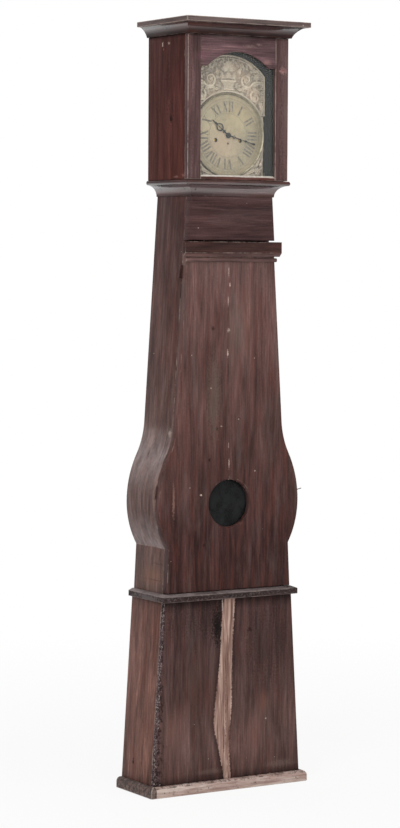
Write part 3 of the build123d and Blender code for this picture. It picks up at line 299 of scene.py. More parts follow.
def addRubbedEdges(tree, place, colour, rub):
    # the planed arrises and a little of the face beside them; gives the rounded normal as well
    look = stainedPine["worn"]
    rounded = addNode(tree, "ShaderNodeBevel", {"Radius": look["reach"] * mm}, samples=6)
    flat = addNode(tree, "ShaderNodeNewGeometry").outputs["True Normal"]
    bent = addNode(tree, "ShaderNodeVectorMath", {0: rounded, 1: flat}, operation="DOT_PRODUCT")
    beside = addNode(tree, "ShaderNodeValToRGB", {"Fac": bent}, [(0.80, 0.7), (0.99, 0.0)])
    arris = addNode(tree, "ShaderNodeAttribute", attribute_name="arris").outputs["Fac"]
    edge = addNode(tree, "ShaderNodeMath", {0: beside, 1: arris}, operation="MAXIMUM")
    scuffed = patches(tree, place, look["width"] * mm, look["low"] - look["shift"] * rub,
                      look["high"] - look["shift"] * rub, 8, 0.74)
    rubbed = addNode(tree, "ShaderNodeMath", {0: edge, 1: scuffed}, operation="MULTIPLY")
    strength = min(1.0, look["least"] + look["more"] * rub)
    return paintOver(tree, colour, look["colour"], rubbed, strength), rubbed, rounded


def addFlecks(tree, place, colour, flecks):
    # small pale chips, one at most in each cell
    look = stainedPine["fleck"]
    cells = addNode(tree, "ShaderNodeTexVoronoi", {"Vector": place, "Scale": 1 / (look["spacing"] * mm)})
    drawn = addNode(tree, "ShaderNodeSeparateXYZ", {"Vector": cells.outputs["Color"]})
    size = addNode(tree, "ShaderNodeMapRange", {"Value": drawn.outputs["X"], "From Max": 1.0,
                   "From Min": 1 - look["share"] * flecks, "To Min": 0.0, "To Max": look["size"]})
    fleck = addNode(tree, "ShaderNodeMath", {0: cells.outputs["Distance"], 1: size}, operation="LESS_THAN")
    return paintOver(tree, colour, look["colour"], fleck, look["strength"])


def pineMaterial(name, stainAndPaintedShade, upright=True, contrast=1.0, warm=0.3, haze=0.25, bloomAndSheen=0.0, rub=0.5, flecks=0.3,
                 gloss=0.05, coat=None, marks=(), scar=None, corner=None, inside=None):
    look = stainedPine
    material, tree, shader = newMaterial(name)
    place = addNode(tree, "ShaderNodeTexCoord").outputs["Object"]
    apart = addNode(tree, "ShaderNodeSeparateXYZ", {"Vector": place})
    layers, grain = {}, -look["middle"]
    for layer, size in look["layers"].items():
        layers[layer] = addNode(tree, "ShaderNodeTexNoise", {
            "Vector": alongGrain(tree, place, upright, size["drawn"]), "Scale": 1 / (size["width"] * mm),
            "Detail": size["detail"], "Roughness": size["roughness"], "Distortion": size["distortion"]})
        grain = addNode(tree, "ShaderNodeMath", {0: layers[layer], 1: size["share"], 2: grain},
                        operation="MULTIPLY_ADD")
    brightness = addNode(tree, "ShaderNodeMath", {0: look["contrast"] ** contrast, 1: grain}, operation="POWER")
    colour = addNode(tree, "ShaderNodeVectorMath", {0: byHeight(tree, apart, stainAndPaintedShade), "Scale": brightness},
                     operation="SCALE")
    colour = addTint(tree, place, upright, colour, "warm", warm)
    colour = addTint(tree, place, upright, colour, "haze", haze)
    if inside:  # the hood's inner faces, made nearly black as painted shade inside the closed hood
        across = addNode(tree, "ShaderNodeMath", {0: apart.outputs["X"]}, operation="ABSOLUTE")
        hidden = addNode(tree, "ShaderNodeMath", {0: across, 1: inside * mm}, operation="LESS_THAN")
        colour = paintOver(tree, colour, look["inside"], hidden)
    if bloomAndSheen:
        colour = addTint(tree, place, upright, colour, "bloomAndSheen", bloomAndSheen)
    for mark in marks:
        colour = addMark(tree, apart, layers["crumbs"], colour, *mark)
    if scar:
        colour = addScar(tree, apart, layers, colour, scar)
    colour, rubbed, rounded = addRubbedEdges(tree, place, colour, rub)
    if corner:
        colour = addWornCorner(tree, place, apart, colour, corner)
    colour = addFlecks(tree, place, colour, flecks)
    tree.links.new(colour.outputs[2], shader.inputs["Base Color"])

    shine = addNode(tree, "ShaderNodeMath", {0: layers["crumbs"], 1: look["shine"]["crumbs"],
                    2: look["shine"]["polished"]}, operation="MULTIPLY_ADD")
    shine = addNode(tree, "ShaderNodeMath", {0: rubbed, 1: look["shine"]["worn"], 2: shine},
                    operation="MULTIPLY_ADD")
    tree.links.new(shine.outputs[0], shader.inputs["Roughness"])
    shader.inputs["Specular IOR Level"].default_value = gloss
    if coat:  # polish left in the hollow of a moulding and worn off its foot and nose
        tree.links.new(byHeight(tree, apart, coat).outputs[0], shader.inputs["Coat Weight"])
        shader.inputs["Coat Roughness"].default_value = look["polish"]["roughness"]
        shader.inputs["Coat IOR"].default_value = look["polish"]["ior"]
    height = addNode(tree, "ShaderNodeMath", {0: layers["streaks"], 1: look["relief"]["streaks"],
                     2: layers["hairs"]}, operation="MULTIPLY_ADD")
    bump = addNode(tree, "ShaderNodeBump", {"Height": height, "Strength": look["relief"]["strength"],
                   "Distance": look["relief"]["depth"] * mm, "Normal": rounded})
    tree.links.new(bump.outputs[0], shader.inputs["Normal"])
    return material


# Wear at chosen places. A mark is the axis across its face, its place on that axis, its height over the
# floor, its half width and half height, all in millimetres, its colour and its strength. The scar's sides
# are offsets from the middle at shares of its levels, and its cracks are marks.
plinthScar = {
    "levels": (0, 600), "reach": 100, "margin": {"left": 20, "right": 9}, "ragged": 22, "soft": 1.2,
    "edge": "#1b1211", "edgeStrength": 0.75,
    "wood": [(0.36, "#7a5d53"), (0.5, "#a58478"), (0.64, "#c8ab9e")],
    "lines": [(0.36, 0.55), (0.52, 1.0)], "lineStrength": 0.8,
    "left": [(0.0, -12), (0.08, -16), (0.155, -26), (0.232, -36), (0.33, -50), (0.403, -48), (0.52, -40),
             (0.66, -30), (0.79, -26), (0.857, -24), (0.94, -18), (1.0, -12)],
    "right": [(0.0, 8), (0.08, 10), (0.155, 6), (0.232, 4), (0.33, 7), (0.403, 12), (0.52, 12),
              (0.66, 13), (0.79, 16), (0.857, 18), (0.94, 21.5), (1.0, 22)],
    "cracks": [("X", -8, 250, 1.6, 120, "#3d2a25", 0.8), ("X", -14, 150, 1.6, 60, "#3d2a25", 0.8),
               ("X", -2, 420, 1.4, 60, "#4d3730", 0.6), ("X", -22, 560, 3, 26, "#cdbcb2", 0.7),
               ("X", -4, 40, 3, 14, "#c9b8a4", 0.6), ("X", -2, 80, 2.5, 10, "#bda893", 0.6)],
}
plinthCorner = {
    "levels": (33, 594), "foot": 257.5, "top": 223.7, "narrow": 8, "wide": 44, "spread": 2.5, "gather": 0.10,
    # width of the flakes in millimetres, colour, where they start and are full, strength
    "coats": [(16, "#1a1211", 0.46, 0.62, 0.8), (7, "#6f5860", 0.58, 0.66, 0.5),
              (5, "#b3a6a0", 0.655, 0.69, 0.75)],
}
knot, chip = "#1d1211", "#c9b2a6"
doorMarks = [
    ("X", -63, 1392, 7, 8, knot, 0.6), ("X", -46, 1091, 5, 7, knot, 0.8), ("X", -72, 999, 5, 6, knot, 0.8),
    ("X", -89, 745, 6, 6, knot, 0.7), ("X", -8, 1560, 1.8, 16, chip, 0.7), ("X", -4, 1520, 3, 7, chip, 0.8),
    ("X", -9, 1470, 2.5, 16, chip, 0.7), ("X", -7, 1385, 6, 6, chip, 0.6), ("X", -10, 1315, 3, 12, chip, 0.9),
    ("X", -8, 1260, 4, 40, "#2a1917", 0.5), ("X", -10, 1440, 4, 40, "#2a1917", 0.4),
    ("X", -3, 985, 2.2, 16, chip, 0.8), ("X", -5, 1040, 2, 10, chip, 0.5), ("X", -2, 935, 2, 10, chip, 0.6),
    ("X", -140, 918, 3, 2.5, chip, 0.9), ("X", -101, 895, 4, 2.5, chip, 0.9), ("X", 90, 960, 3, 2.5, chip, 0.7),
    ("X", 30, 1120, 7, 4, knot, 0.7), ("X", 30, 1118, 3, 2, chip, 0.6), ("X", -30, 1098, 5, 2, chip, 0.5),
    ("X", -196, 880, 5, 60, "#9c7568", 0.5), ("X", 60, 1400, 24, 120, "#7c564a", 0.25),
    ("X", -60, 1180, 30, 150, "#7a6a60", 0.3), ("X", 20, 1380, 40, 120, "#6b6057", 0.25)]
plinthMarks = [("X", -40, 498, 20, 70, "#0d0908", 0.95), ("X", -70, 520, 40, 60, "#1c1312", 0.4),
               ("X", 75, 480, 12, 8, "#241613", 0.7),
               ("X", 62, 455, 8, 5, "#6a5648", 0.5), ("X", 128, 255, 22, 40, "#8a5c48", 0.22),
               ("X", 95, 160, 28, 60, "#7d5348", 0.3), ("X", -190, 190, 30, 70, "#7d5a50", 0.35),
               ("X", -120, 330, 34, 120, "#6d5148", 0.25), ("X", 130, 430, 80, 130, "#2a1d1b", 0.35),
               ("X", -170, 520, 60, 50, "#2a1e1c", 0.4), ("X", 190, 60, 60, 14, "#9b8a80", 0.15),
               ("X", -60, 60, 60, 10, "#9b8a80", 0.12)]
flankMarks = [("Y", 40, 650, 70, 34, "#866352", 0.5), ("Y", 10, 690, 40, 4, "#3a2723", 0.3),
              ("Y", 30, 640, 50, 3, "#3a2723", 0.3), ("Y", -12, 1080, 12, 12, chip, 0.45),
              ("Y", -16, 905, 7, 60, "#a07a6b", 0.5), ("Y", 0, 1040, 5, 60, "#2c1d1a", 0.4)]
hoodSideMarks = [("Y", 12, 2009, 8, 14, "#120c0b", 0.9), ("Y", 10, 2035, 16, 46, "#2d201c", 0.5),
                 ("Y", 62, 2230, 5, 9, chip, 0.7), ("Y", 56, 2216, 3, 5, "#b85a52", 0.5),
                 ("Y", 26, 2232, 8, 4, chip, 0.5), ("Y", -66, 1842, 16, 5, "#9b7168", 0.6),
                 ("Y", -20, 1838, 16, 4, "#9b7168", 0.5), ("Y", -84, 2040, 12, 240, "#160d0c", 0.45),
                 ("Y", 30, 2120, 14, 90, "#241513", 0.4), ("Y", 92, 1960, 14, 120, "#241513", 0.35)]
railMarks = [("X", -128, 2190, 30, 18, "#7a5058", 0.35), ("X", 156, 2158, 16, 11, "#b98f8b", 0.6),
             ("X", 158, 2160, 10, 5, "#6d2f33", 0.6), ("X", 98, 2180, 18, 8, "#a77f7b", 0.5),
             ("X", 38, 2226, 26, 5, "#9c817c", 0.4), ("X", 70, 2232, 12, 4, "#9c817c", 0.5),
             ("X", -170, 2020, 16, 230, "#2e201f", 0.3), ("X", 166, 2020, 24, 250, "#8a716d", 0.3)]
coveMarks = [("Y", 104, 1804, 5, 5, "#0c0808", 1.0), ("Y", -30, 1804, 5, 5, "#0c0808", 1.0),
             ("X", -134, 1802, 5, 5, "#0c0808", 1.0)]

# Each board's stain is given by height over the floor in millimetres; on some boards it carries painted shade
# and painted light as well, noted at each.
woodLooks = {
    "trunk_door_panel": dict(stainAndPaintedShade=[(600, "#3f2a27"), (760, "#3f2a28"), (900, "#47312e"), (1200, "#5a413d"),
                                    (1500, "#664b47"), (1650, "#65504c")], warm=0.4, haze=0.3, rub=0.35,
                             flecks=0.3, marks=doorMarks),
    # lighter over the belly, where its upper flank faces the light, as painted light; darker towards the top
    "trunk_side_left": dict(stainAndPaintedShade=[(594, "#65504a"), (740, "#5f4a46"), (800, "#63504c"), (900, "#6a5753"),
                                   (1000, "#6e5c59"), (1080, "#6b5955"), (1110, "#5f4b47"), (1300, "#573f3b"),
                                   (1782, "#483331")], bloomAndSheen=0.9, haze=0.3, rub=0.5, flecks=0.3, contrast=1.1,
                            marks=flankMarks),
    "trunk_side_right": dict(stainAndPaintedShade="#553f3b", bloomAndSheen=0.85, haze=0.3, rub=0.5),
    # darkest at the top under the waist moulding as painted shade, and darker at the foot
    "plinth_front": dict(stainAndPaintedShade=[(30, "#2b1f1c"), (60, "#553f3b"), (130, "#5f4844"), (210, "#5a4440"),
                                (290, "#4e3a37"), (545, "#483533"), (572, "#281b19")], warm=0.25, haze=0.2,
                         rub=0.35, flecks=0.8, marks=plinthMarks, scar=plinthScar, corner=plinthCorner),
    # darker at the foot, and a little darker under the waist moulding as painted shade
    "plinth_sides": dict(stainAndPaintedShade=[(30, "#573d36"), (60, "#715249"), (540, "#6b4e47"), (572, "#5f453f")],
                         contrast=1.1, warm=0.5, haze=0.1, rub=0.7, flecks=0.4,
                         marks=[("Y", 82, 88, 7, 10, "#120c0b", 0.9)]),
    # dark at the top, under the hood support moulding, as painted shade
    "frieze_panel": dict(upright=False, stainAndPaintedShade=[(1652, "#4a3534"), (1800, "#4a3534"), (1818, "#2c1d1c")],
                         warm=0.1, haze=0.15, rub=0.2, flecks=0.2),
    # dark at its foot and its nose as painted shade, lighter in the hollow as a painted reflection
    "hood_support_moulding": dict(upright=False, stainAndPaintedShade=[(1782, "#382624"), (1797, "#655452"), (1812, "#58474a"),
                                                        (1820, "#3f2d2b"), (1830, "#33211f")],
                                  bloomAndSheen=0.1, haze=0.1, rub=0.3, marks=coveMarks,
                                  coat=[(1782, 0.0), (1789, 0.1), (1797, 0.9), (1820, 1.0), (1823, 0.0)]),
    # the pale grey mark on its side is a painted highlight
    "waist_moulding": dict(upright=False, stainAndPaintedShade="#2f2523", bloomAndSheen=0.8, haze=0.1, rub=0.5, warm=0.1,
                           marks=[("Y", 30, 588, 100, 16, "#86797a", 0.4)]),
    "trunk_door_moulding": dict(upright=False, stainAndPaintedShade=[(1608, "#67504d"), (1616, "#3b2825")], haze=0.05, rub=0.7,
                                flecks=0.2, warm=0.2),
    # dark at the top, under the cornice, as painted shade
    "hood_sides": dict(stainAndPaintedShade=[(1830, "#522f2a"), (2100, "#4a2b28"), (2244, "#4a2e2b"), (2255, "#2c1b19")],
                       gloss=0.02, warm=0.12, haze=0.05, rub=0.3, contrast=0.85, flecks=0.2,
                       marks=hoodSideMarks, inside=157.8),
    # the stiles and the top rail darken at the top, under the cornice, as painted shade
    "hood_door_stiles": dict(stainAndPaintedShade=[(1830, "#5b4544"), (2246, "#5b4544"), (2254, "#332422")],
                             haze=0.35, rub=0.85, flecks=0.3, warm=0.15, marks=railMarks),
    "hood_door_top_rail": dict(upright=False, stainAndPaintedShade=[(2160, "#5f484a"), (2244, "#5f484a"), (2254, "#332425")],
                               haze=0.35, rub=0.5, flecks=0.4, warm=0.05, contrast=1.15, marks=railMarks),
    "hood_door_bottom_rail": dict(upright=False, stainAndPaintedShade="#50332e", haze=0.1, rub=0.7, warm=0.4),
    # darkest at its foot against the hood, as painted shade
    "cornice_cove": dict(upright=False, stainAndPaintedShade=[(2255, "#1b0f0e"), (2263, "#2d1c1a"), (2274, "#463331"),
                                               (2284, "#3f2d2b")], haze=0.1, rub=0.6,
                         coat=[(2255, 0.0), (2263, 0.1), (2271, 0.5), (2278, 1.0), (2284, 0.7)],
                         marks=[("Y", 10, 2277, 20, 4, "#0c0808", 1.0)]),
    "cornice_board": dict(upright=False, stainAndPaintedShade="#655754", haze=0.3, rub=1.0, flecks=0.5, warm=0.15),
    "hood_top_board": dict(upright=False, stainAndPaintedShade="#54423f", bloomAndSheen=0.6, haze=0.4, rub=0.3),
}
pineOf = {node: pineMaterial("stainedPine_" + node, **look) for node, look in woodLooks.items()}
print("stained pine made for", len(pineOf), "boards")


# Softwood without stain, dry and matt: dark with dust inside the case, rubbed pale and dirty on the foot, with
# painted shade on the foot's left end.
barePine = {
    "width": 8, "drawn": 14, "roughness": 0.75, "grime": "#3c2c28", "grimeWidth": 12,
    "wall": [(0.36, "#4d3f34"), (0.5, "#6d5a48"), (0.62, "#86725d")],
    "relief": dict(strength=0.5, depth=0.8),
    # the foot's left end, darker brown as painted shade of that side and spotted with dirt below its worn edge,
    # and the ledge that gathers dirt
    "dirtAndSideShade": dict(beyond=-259, colour="#4a342e", cover=0.75, spots="#1c1311", spotWidth=9, spotCover=0.8,
                 worn="#c3b2a8", wornCover=0.6,
                 ledge=27, ledgeColour="#3a2a26", ledgeWidth=14, ledgeCover=0.75),
}


def addFootDirtAndSideShade(tree, place, apart, colour):
    dirtAndSideShade = barePine["dirtAndSideShade"]
    beyond = addNode(tree, "ShaderNodeMath", {0: apart.outputs["X"], 1: dirtAndSideShade["beyond"] * mm},
                     operation="LESS_THAN")
    # the left end's face darkened: painted shade of that side
    colour = paintOver(tree, colour, dirtAndSideShade["colour"], beyond, dirtAndSideShade["cover"])
    spots = addNode(tree, "ShaderNodeMath", {0: beyond, 1: patches(
        tree, place, dirtAndSideShade["spotWidth"] * mm, 0.45, 0.55)}, operation="MULTIPLY")
    colour = paintOver(tree, colour, dirtAndSideShade["spots"], spots, dirtAndSideShade["spotCover"])
    worn = addNode(tree, "ShaderNodeAttribute", attribute_name="arris").outputs["Fac"]
    colour = paintOver(tree, colour, dirtAndSideShade["worn"], worn, dirtAndSideShade["wornCover"])
    top = addNode(tree, "ShaderNodeMath", {0: apart.outputs["Z"], 1: dirtAndSideShade["ledge"] * mm},
                  operation="GREATER_THAN")
    gathered = addNode(tree, "ShaderNodeMath", {0: top, 1: patches(
        tree, place, dirtAndSideShade["ledgeWidth"] * mm, 0.46, 0.58)}, operation="MULTIPLY")
    return paintOver(tree, colour, dirtAndSideShade["ledgeColour"], gathered, dirtAndSideShade["ledgeCover"])


def bareMaterial(name, tones, upright, grime=0.0, wallFrom=None, dirtyAndSideShaded=False):
    look = barePine
    material, tree, shader = newMaterial(name)
    place = addNode(tree, "ShaderNodeTexCoord").outputs["Object"]
    apart = addNode(tree, "ShaderNodeSeparateXYZ", {"Vector": place})
    streaks = addNode(tree, "ShaderNodeTexNoise", {
        "Vector": alongGrain(tree, place, upright, look["drawn"]), "Scale": 1 / (look["width"] * mm),
        "Detail": 6, "Roughness": 0.65, "Distortion": 0.3})
    colour = addNode(tree, "ShaderNodeValToRGB", {"Fac": streaks}, list(zip((0.34, 0.5, 0.66), tones)))
    grimy = patches(tree, place, look["grimeWidth"] * mm, 0.56, 0.64, 8, 0.78)
    colour = paintOver(tree, colour, look["grime"], grimy, grime)
    if wallFrom:  # never stained on the face towards the wall
        beyond = addNode(tree, "ShaderNodeMath", {0: apart.outputs["Y"], 1: wallFrom}, operation="GREATER_THAN")
        wall = addNode(tree, "ShaderNodeValToRGB", {"Fac": streaks}, look["wall"])
        colour = addNode(tree, "ShaderNodeMix", {0: beyond, 6: colour, 7: wall}, data_type="RGBA")
    if dirtyAndSideShaded:
        colour = addFootDirtAndSideShade(tree, place, apart, colour)
    tree.links.new(colour.outputs[2], shader.inputs["Base Color"])
    shader.inputs["Roughness"].default_value = look["roughness"]
    bump = addNode(tree, "ShaderNodeBump", {"Height": streaks, "Strength": look["relief"]["strength"],
                   "Distance": look["relief"]["depth"] * mm})
    tree.links.new(bump.outputs[0], shader.inputs["Normal"])
    return material


innerPine = bareMaterial("dustyUnstainedPine", ("#54453a", "#75624f", "#8d7a66"), True)
hoodBackPine = bareMaterial("darkenedBackboardPine", ("#272523", "#322f2c", "#403b35"), True,
                            wallFrom=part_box("backboard")[1][1] - 1 * mm)
rubbedPine = bareMaterial("rubbedFootPine", ("#8f7268", "#b3998f", "#d3c2b7"), False, grime=0.6, dirtyAndSideShaded=True)

# boards with their arrises rounded, as by a hand plane and two centuries of wear
boardEdges = {"width": 1.3 * mm, "footWidth": 2.5 * mm, "segments": 2, "profile": 0.6,
              "sharp": math.radians(28), "flat": math.radians(0.6), "weld": 0.005 * mm}


def softenBoard(node, material, width=None):
    mesh = nodes[node].data.copy()
    work = bmesh.new()
    work.from_mesh(mesh)
    bmesh.ops.remove_doubles(work, verts=work.verts, dist=boardEdges["weld"])
    bmesh.ops.dissolve_limit(work, angle_limit=boardEdges["flat"], verts=work.verts, edges=work.edges)
    sharp = [e for e in work.edges if len(e.link_faces) == 2 and e.calc_face_angle(0) > boardEdges["sharp"]]
    arris = work.faces.layers.float.new("arris")
    rounded = bmesh.ops.bevel(work, geom=sharp, offset=width or boardEdges["width"],
                              profile=boardEdges["profile"], segments=boardEdges["segments"],
                              affect="EDGES", clamp_overlap=True)
    for face in rounded["faces"]:
        face[arris] = 1.0
    bmesh.ops.triangulate(work, faces=work.faces)
    work.to_mesh(mesh)
    work.free()
    return placePiece("softened_" + node, mesh, material, bodyOf[node], (node,), smooth=True)


for boardNode, boardMaterial in pineOf.items():
    softenBoard(boardNode, boardMaterial)
softenBoard("base_moulding", rubbedPine, boardEdges["footWidth"])
for innerNode in ("trunk_bottom_rail", "seat_board"):
    finishNode(innerNode, innerPine)
finishNode("backboard", hoodBackPine)
print("boards softened")


# Metals, and the wax, gut and putty further on: a plain stuff whose colour, shine and surface are clouded.
clouded = {"dark": 0.35, "light": 0.68, "shine": 0.3, "depth": 0.3 * mm, "arborSteel": "#242220"}


def cloudedMaterial(name, dark, light, metallic, roughness, cloudMm, relief=0.1, steelBefore=None):
    material, tree, shader = newMaterial(name)
    place = addNode(tree, "ShaderNodeTexCoord").outputs["Object"]
    cloud = addNode(tree, "ShaderNodeTexNoise", {"Vector": place, "Scale": 1 / (cloudMm * mm), "Detail": 6,
                    "Roughness": 0.65})
    colour = addNode(tree, "ShaderNodeValToRGB", {"Fac": cloud}, [
        (clouded["dark"], dark), (clouded["light"], light)])
    shown = colour.outputs[0]
    if steelBefore is not None:  # the arbor's front end
        apart = addNode(tree, "ShaderNodeSeparateXYZ", {"Vector": place})
        front = addNode(tree, "ShaderNodeMath", {0: apart.outputs["Y"], 1: steelBefore}, operation="LESS_THAN")
        shown = paintOver(tree, colour, clouded["arborSteel"], front).outputs[2]
    tree.links.new(shown, shader.inputs["Base Color"])
    shader.inputs["Metallic"].default_value = metallic
    shine = addNode(tree, "ShaderNodeMath", {0: cloud, 1: clouded["shine"],
                    2: roughness - clouded["shine"] / 2}, operation="MULTIPLY_ADD")
    tree.links.new(shine.outputs[0], shader.inputs["Roughness"])
    bump = addNode(tree, "ShaderNodeBump", {"Height": cloud, "Strength": relief,
                   "Distance": clouded["depth"]})
    tree.links.new(bump.outputs[0], shader.inputs["Normal"])
    return material


wheelBrass = dict(dark="#8a6e3c", light="#b8985a", metallic=1.0, roughness=0.35, cloudMm=12)
metals = {
    # brown black and matt, with the hammer's unevenness
    "forgedIron": dict(dark="#241f1d", light="#4a3d36", metallic=0.6, roughness=0.6, cloudMm=5, relief=0.3),
    # nearly black, with a dull shine
    "blackenedSteel": dict(dark="#151414", light="#343130", metallic=0.5, roughness=0.5, cloudMm=4),
    # bright grey, sharp highlights
    "polishedSteel": dict(dark="#8e8d8a", light="#b4b2ad", metallic=1.0, roughness=0.3, cloudMm=8),
    # warm yellow under a thin brown film, on the last one with an arbor whose front end is blackened steel
    "dullBrass": wheelBrass,
    "brassOnSteelArbor": dict(wheelBrass, steelBefore=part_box("cage_frame")[0][1]),
    # dark grey, rough from the mould
    "castIronWeight": dict(dark="#2b2826", light="#4b4541", metallic=0.4, roughness=0.7, cloudMm=7, relief=0.4),
    # dark olive brown, softly shining
    "darkenedBellMetal": dict(dark="#2a251d", light="#4a4232", metallic=0.6, roughness=0.55, cloudMm=14),
    # grey gold, paler where hands have rubbed it
    "rubbedBezelBrass": dict(dark="#6f6854", light="#b9ae90", metallic=0.4, roughness=0.4, cloudMm=16),
}
metalNodes = {
    "forgedIron": ("hood_hinge_fixed", "hood_hinge_door", "hook_screw", "door_hook", "hook_pin", "cage_frame",
                   "pivot_bars", "pendulum_cock", "cannon_pinion"),
    "castIronWeight": ("going_weight", "strike_weight"),
    "polishedSteel": ("anchor", "pendulum_rod", "bell_hammer", "fly"),
    "dullBrass": ("going_great_wheel", "third_wheel", "escape_wheel", "strike_great_wheel", "pin_wheel",
                  "warning_wheel", "minute_wheel", "hour_wheel", "pendulum_bob"),
    "brassOnSteelArbor": ("centre_wheel", "going_barrel", "strike_barrel"),
    "darkenedBellMetal": ("bell",),
    "rubbedBezelBrass": ("dial_bezel",),
}
metalOf = {name: cloudedMaterial(name, **look) for name, look in metals.items()}
for metal, metalParts in metalNodes.items():
    for node in metalParts:
        finishNode(node, metalOf[metal])
for node in ("trunk_hinge_fixed", "trunk_hinge_door"):  # painted over with the case's stain
    finishNode(node, pineOf["trunk_side_left"])


# Thin brass pressed in relief and long tarnished: pale grey gold, brown in the hollows from tarnish and painted
# shade, and palest on the raised tops as a painted highlight.
pressedBrass = {
    "cloud": 50, "grit": 2.6, "gritShare": 0.5, "casting": 14, "warmPatch": 45, "warmCover": 0.5,
    "spotPatch": 13, "spots": "#6b6a5c", "spotCover": 0.4, "metallic": 0.12, "roughness": 0.36, "shine": 0.25,
    "relief": dict(strength=0.2, depth=0.3),
}


def pressedBrassMaterial(name, hollow, middle, high, warm, marks=()):
    look = pressedBrass
    material, tree, shader = newMaterial(name)
    place = addNode(tree, "ShaderNodeTexCoord").outputs["Object"]
    cloud = addNode(tree, "ShaderNodeTexNoise", {"Vector": place, "Scale": 1 / (look["cloud"] * mm),
                    "Detail": 5, "Roughness": 0.65})
    grit = addNode(tree, "ShaderNodeTexNoise", {"Vector": place, "Scale": 1 / (look["grit"] * mm),
                   "Detail": 3, "Roughness": 0.6})
    if marks:  # the flat chapter disc, cloudy instead of pressed
        height = addNode(tree, "ShaderNodeTexNoise", {"Vector": place, "Scale": 1 / (look["casting"] * mm),
                         "Detail": 6, "Roughness": 0.72})
    else:
        height = addNode(tree, "ShaderNodeAttribute", attribute_name="relief").outputs["Fac"]
    depth = addNode(tree, "ShaderNodeMath", {0: grit, 1: look["gritShare"], 2: -look["gritShare"] / 2},
                    operation="MULTIPLY_ADD")
    depth = addNode(tree, "ShaderNodeMath", {0: depth, 1: height}, operation="ADD")
    # on the pressed sheets the colour follows the relief: painted shade in the hollows and painted highlight on
    # the raised tops, over the tarnish
    colour = addNode(tree, "ShaderNodeValToRGB", {"Fac": depth}, [(0.05, hollow), (0.45, middle), (0.85, high)])
    warmed = patches(tree, place, look["warmPatch"] * mm, 0.46, 0.64)
    colour = paintOver(tree, colour, warm, warmed, look["warmCover"])
    spotted = patches(tree, place, look["spotPatch"] * mm, 0.55, 0.68, 6, 0.75)
    colour = paintOver(tree, colour, look["spots"], spotted, look["spotCover"])
    apart = addNode(tree, "ShaderNodeSeparateXYZ", {"Vector": place})
    for mark in marks:
        colour = addMark(tree, apart, grit, colour, *mark)
    tree.links.new(colour.outputs[2], shader.inputs["Base Color"])
    shader.inputs["Metallic"].default_value = look["metallic"]
    shine = addNode(tree, "ShaderNodeMath", {0: cloud, 1: look["shine"], 2: look["roughness"]},
                    operation="MULTIPLY_ADD")
    tree.links.new(shine.outputs[0], shader.inputs["Roughness"])
    bump = addNode(tree, "ShaderNodeBump", {"Height": grit, "Strength": look["relief"]["strength"],
                   "Distance": look["relief"]["depth"] * mm})
    tree.links.new(bump.outputs[0], shader.inputs["Normal"])
    return material


discLow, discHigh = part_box("chapter_disc")
dialX, dialZ, dialFront = (discLow[0] + discHigh[0]) / 2, (discLow[2] + discHigh[2]) / 2, discLow[1]
reliefBrass = pressedBrassMaterial("tarnishedPressedBrass", "#8b806f", "#bdb09c", "#e6d8c0", "#c9ae94")
acrossDial, upDial = dialX / mm, dialZ / mm
# warm and lighter patches across the disc, and a darker patch at the lower right that is painted shade of the
# hood
dialMarks = [("X", acrossDial - 22, upDial - 26, 70, 60, "#c9ad94", 0.45),
             ("X", acrossDial - 78, upDial + 34, 46, 62, "#d6c7a4", 0.45),
             ("X", acrossDial + 40, upDial + 44, 44, 34, "#cdbf94", 0.35),
             ("X", acrossDial + 70, upDial - 40, 34, 60, "#8f8b78", 0.35)]
dialBrass = pressedBrassMaterial("tarnishedDialBrass", "#80755d", "#a39678", "#c4b595", "#b49f78", dialMarks)
finishNode("dial_plate", reliefBrass)
finishNode("chapter_disc", dialBrass)


# Window glass, clear with a little dust, and the lenticle glass, made black and nearly opaque as painted shade
# of the dark trunk behind it, with dust and a soft shine.
glasses = {
    "hood_door_glass": dict(name="oldWindowGlass", clear="#dfe6e2", dust="#e9ece6", alpha=0.04, roughness=0.02,
                            gloss=0.5),
    # the lenticle's black stands in for the shade inside the trunk
    "lenticle_glass": dict(name="blackLenticleGlassPaintedShade", clear="#090a0a", dust="#262728", alpha=0.95,
                           roughness=0.35, gloss=0.1),
}
glassDust = {"width": 42 * mm, "thin": 0.38, "thick": 0.70, "shine": 0.2}


def glassMaterial(name, clear, dust, alpha, roughness, gloss):
    material, tree, shader = newMaterial(name)
    place = addNode(tree, "ShaderNodeTexCoord").outputs["Object"]
    cloud = addNode(tree, "ShaderNodeTexNoise", {"Vector": place, "Scale": 1 / glassDust["width"], "Detail": 5,
                    "Roughness": 0.62})
    colour = addNode(tree, "ShaderNodeValToRGB", {"Fac": cloud}, [
        (glassDust["thin"], clear), (glassDust["thick"], dust)])
    tree.links.new(colour.outputs[0], shader.inputs["Base Color"])
    shader.inputs["Alpha"].default_value = alpha
    shader.inputs["Specular IOR Level"].default_value = gloss
    shine = addNode(tree, "ShaderNodeMath", {0: cloud, 1: glassDust["shine"], 2: roughness},
                    operation="MULTIPLY_ADD")
    tree.links.new(shine.outputs[0], shader.inputs["Roughness"])
    return material


for node, look in glasses.items():
    finishNode(node, glassMaterial(**look))
print("metals and glass made")

bezelLow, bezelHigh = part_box("dial_bezel")
bezelRadius = (bezelHigh[0] - bezelLow[0]) / 2 + 0.3 * mm
relief = {"cell": 1.25 * mm, "rise": 4.5 * mm, "sheet": 0.3 * mm, "groundGrit": 0.12}


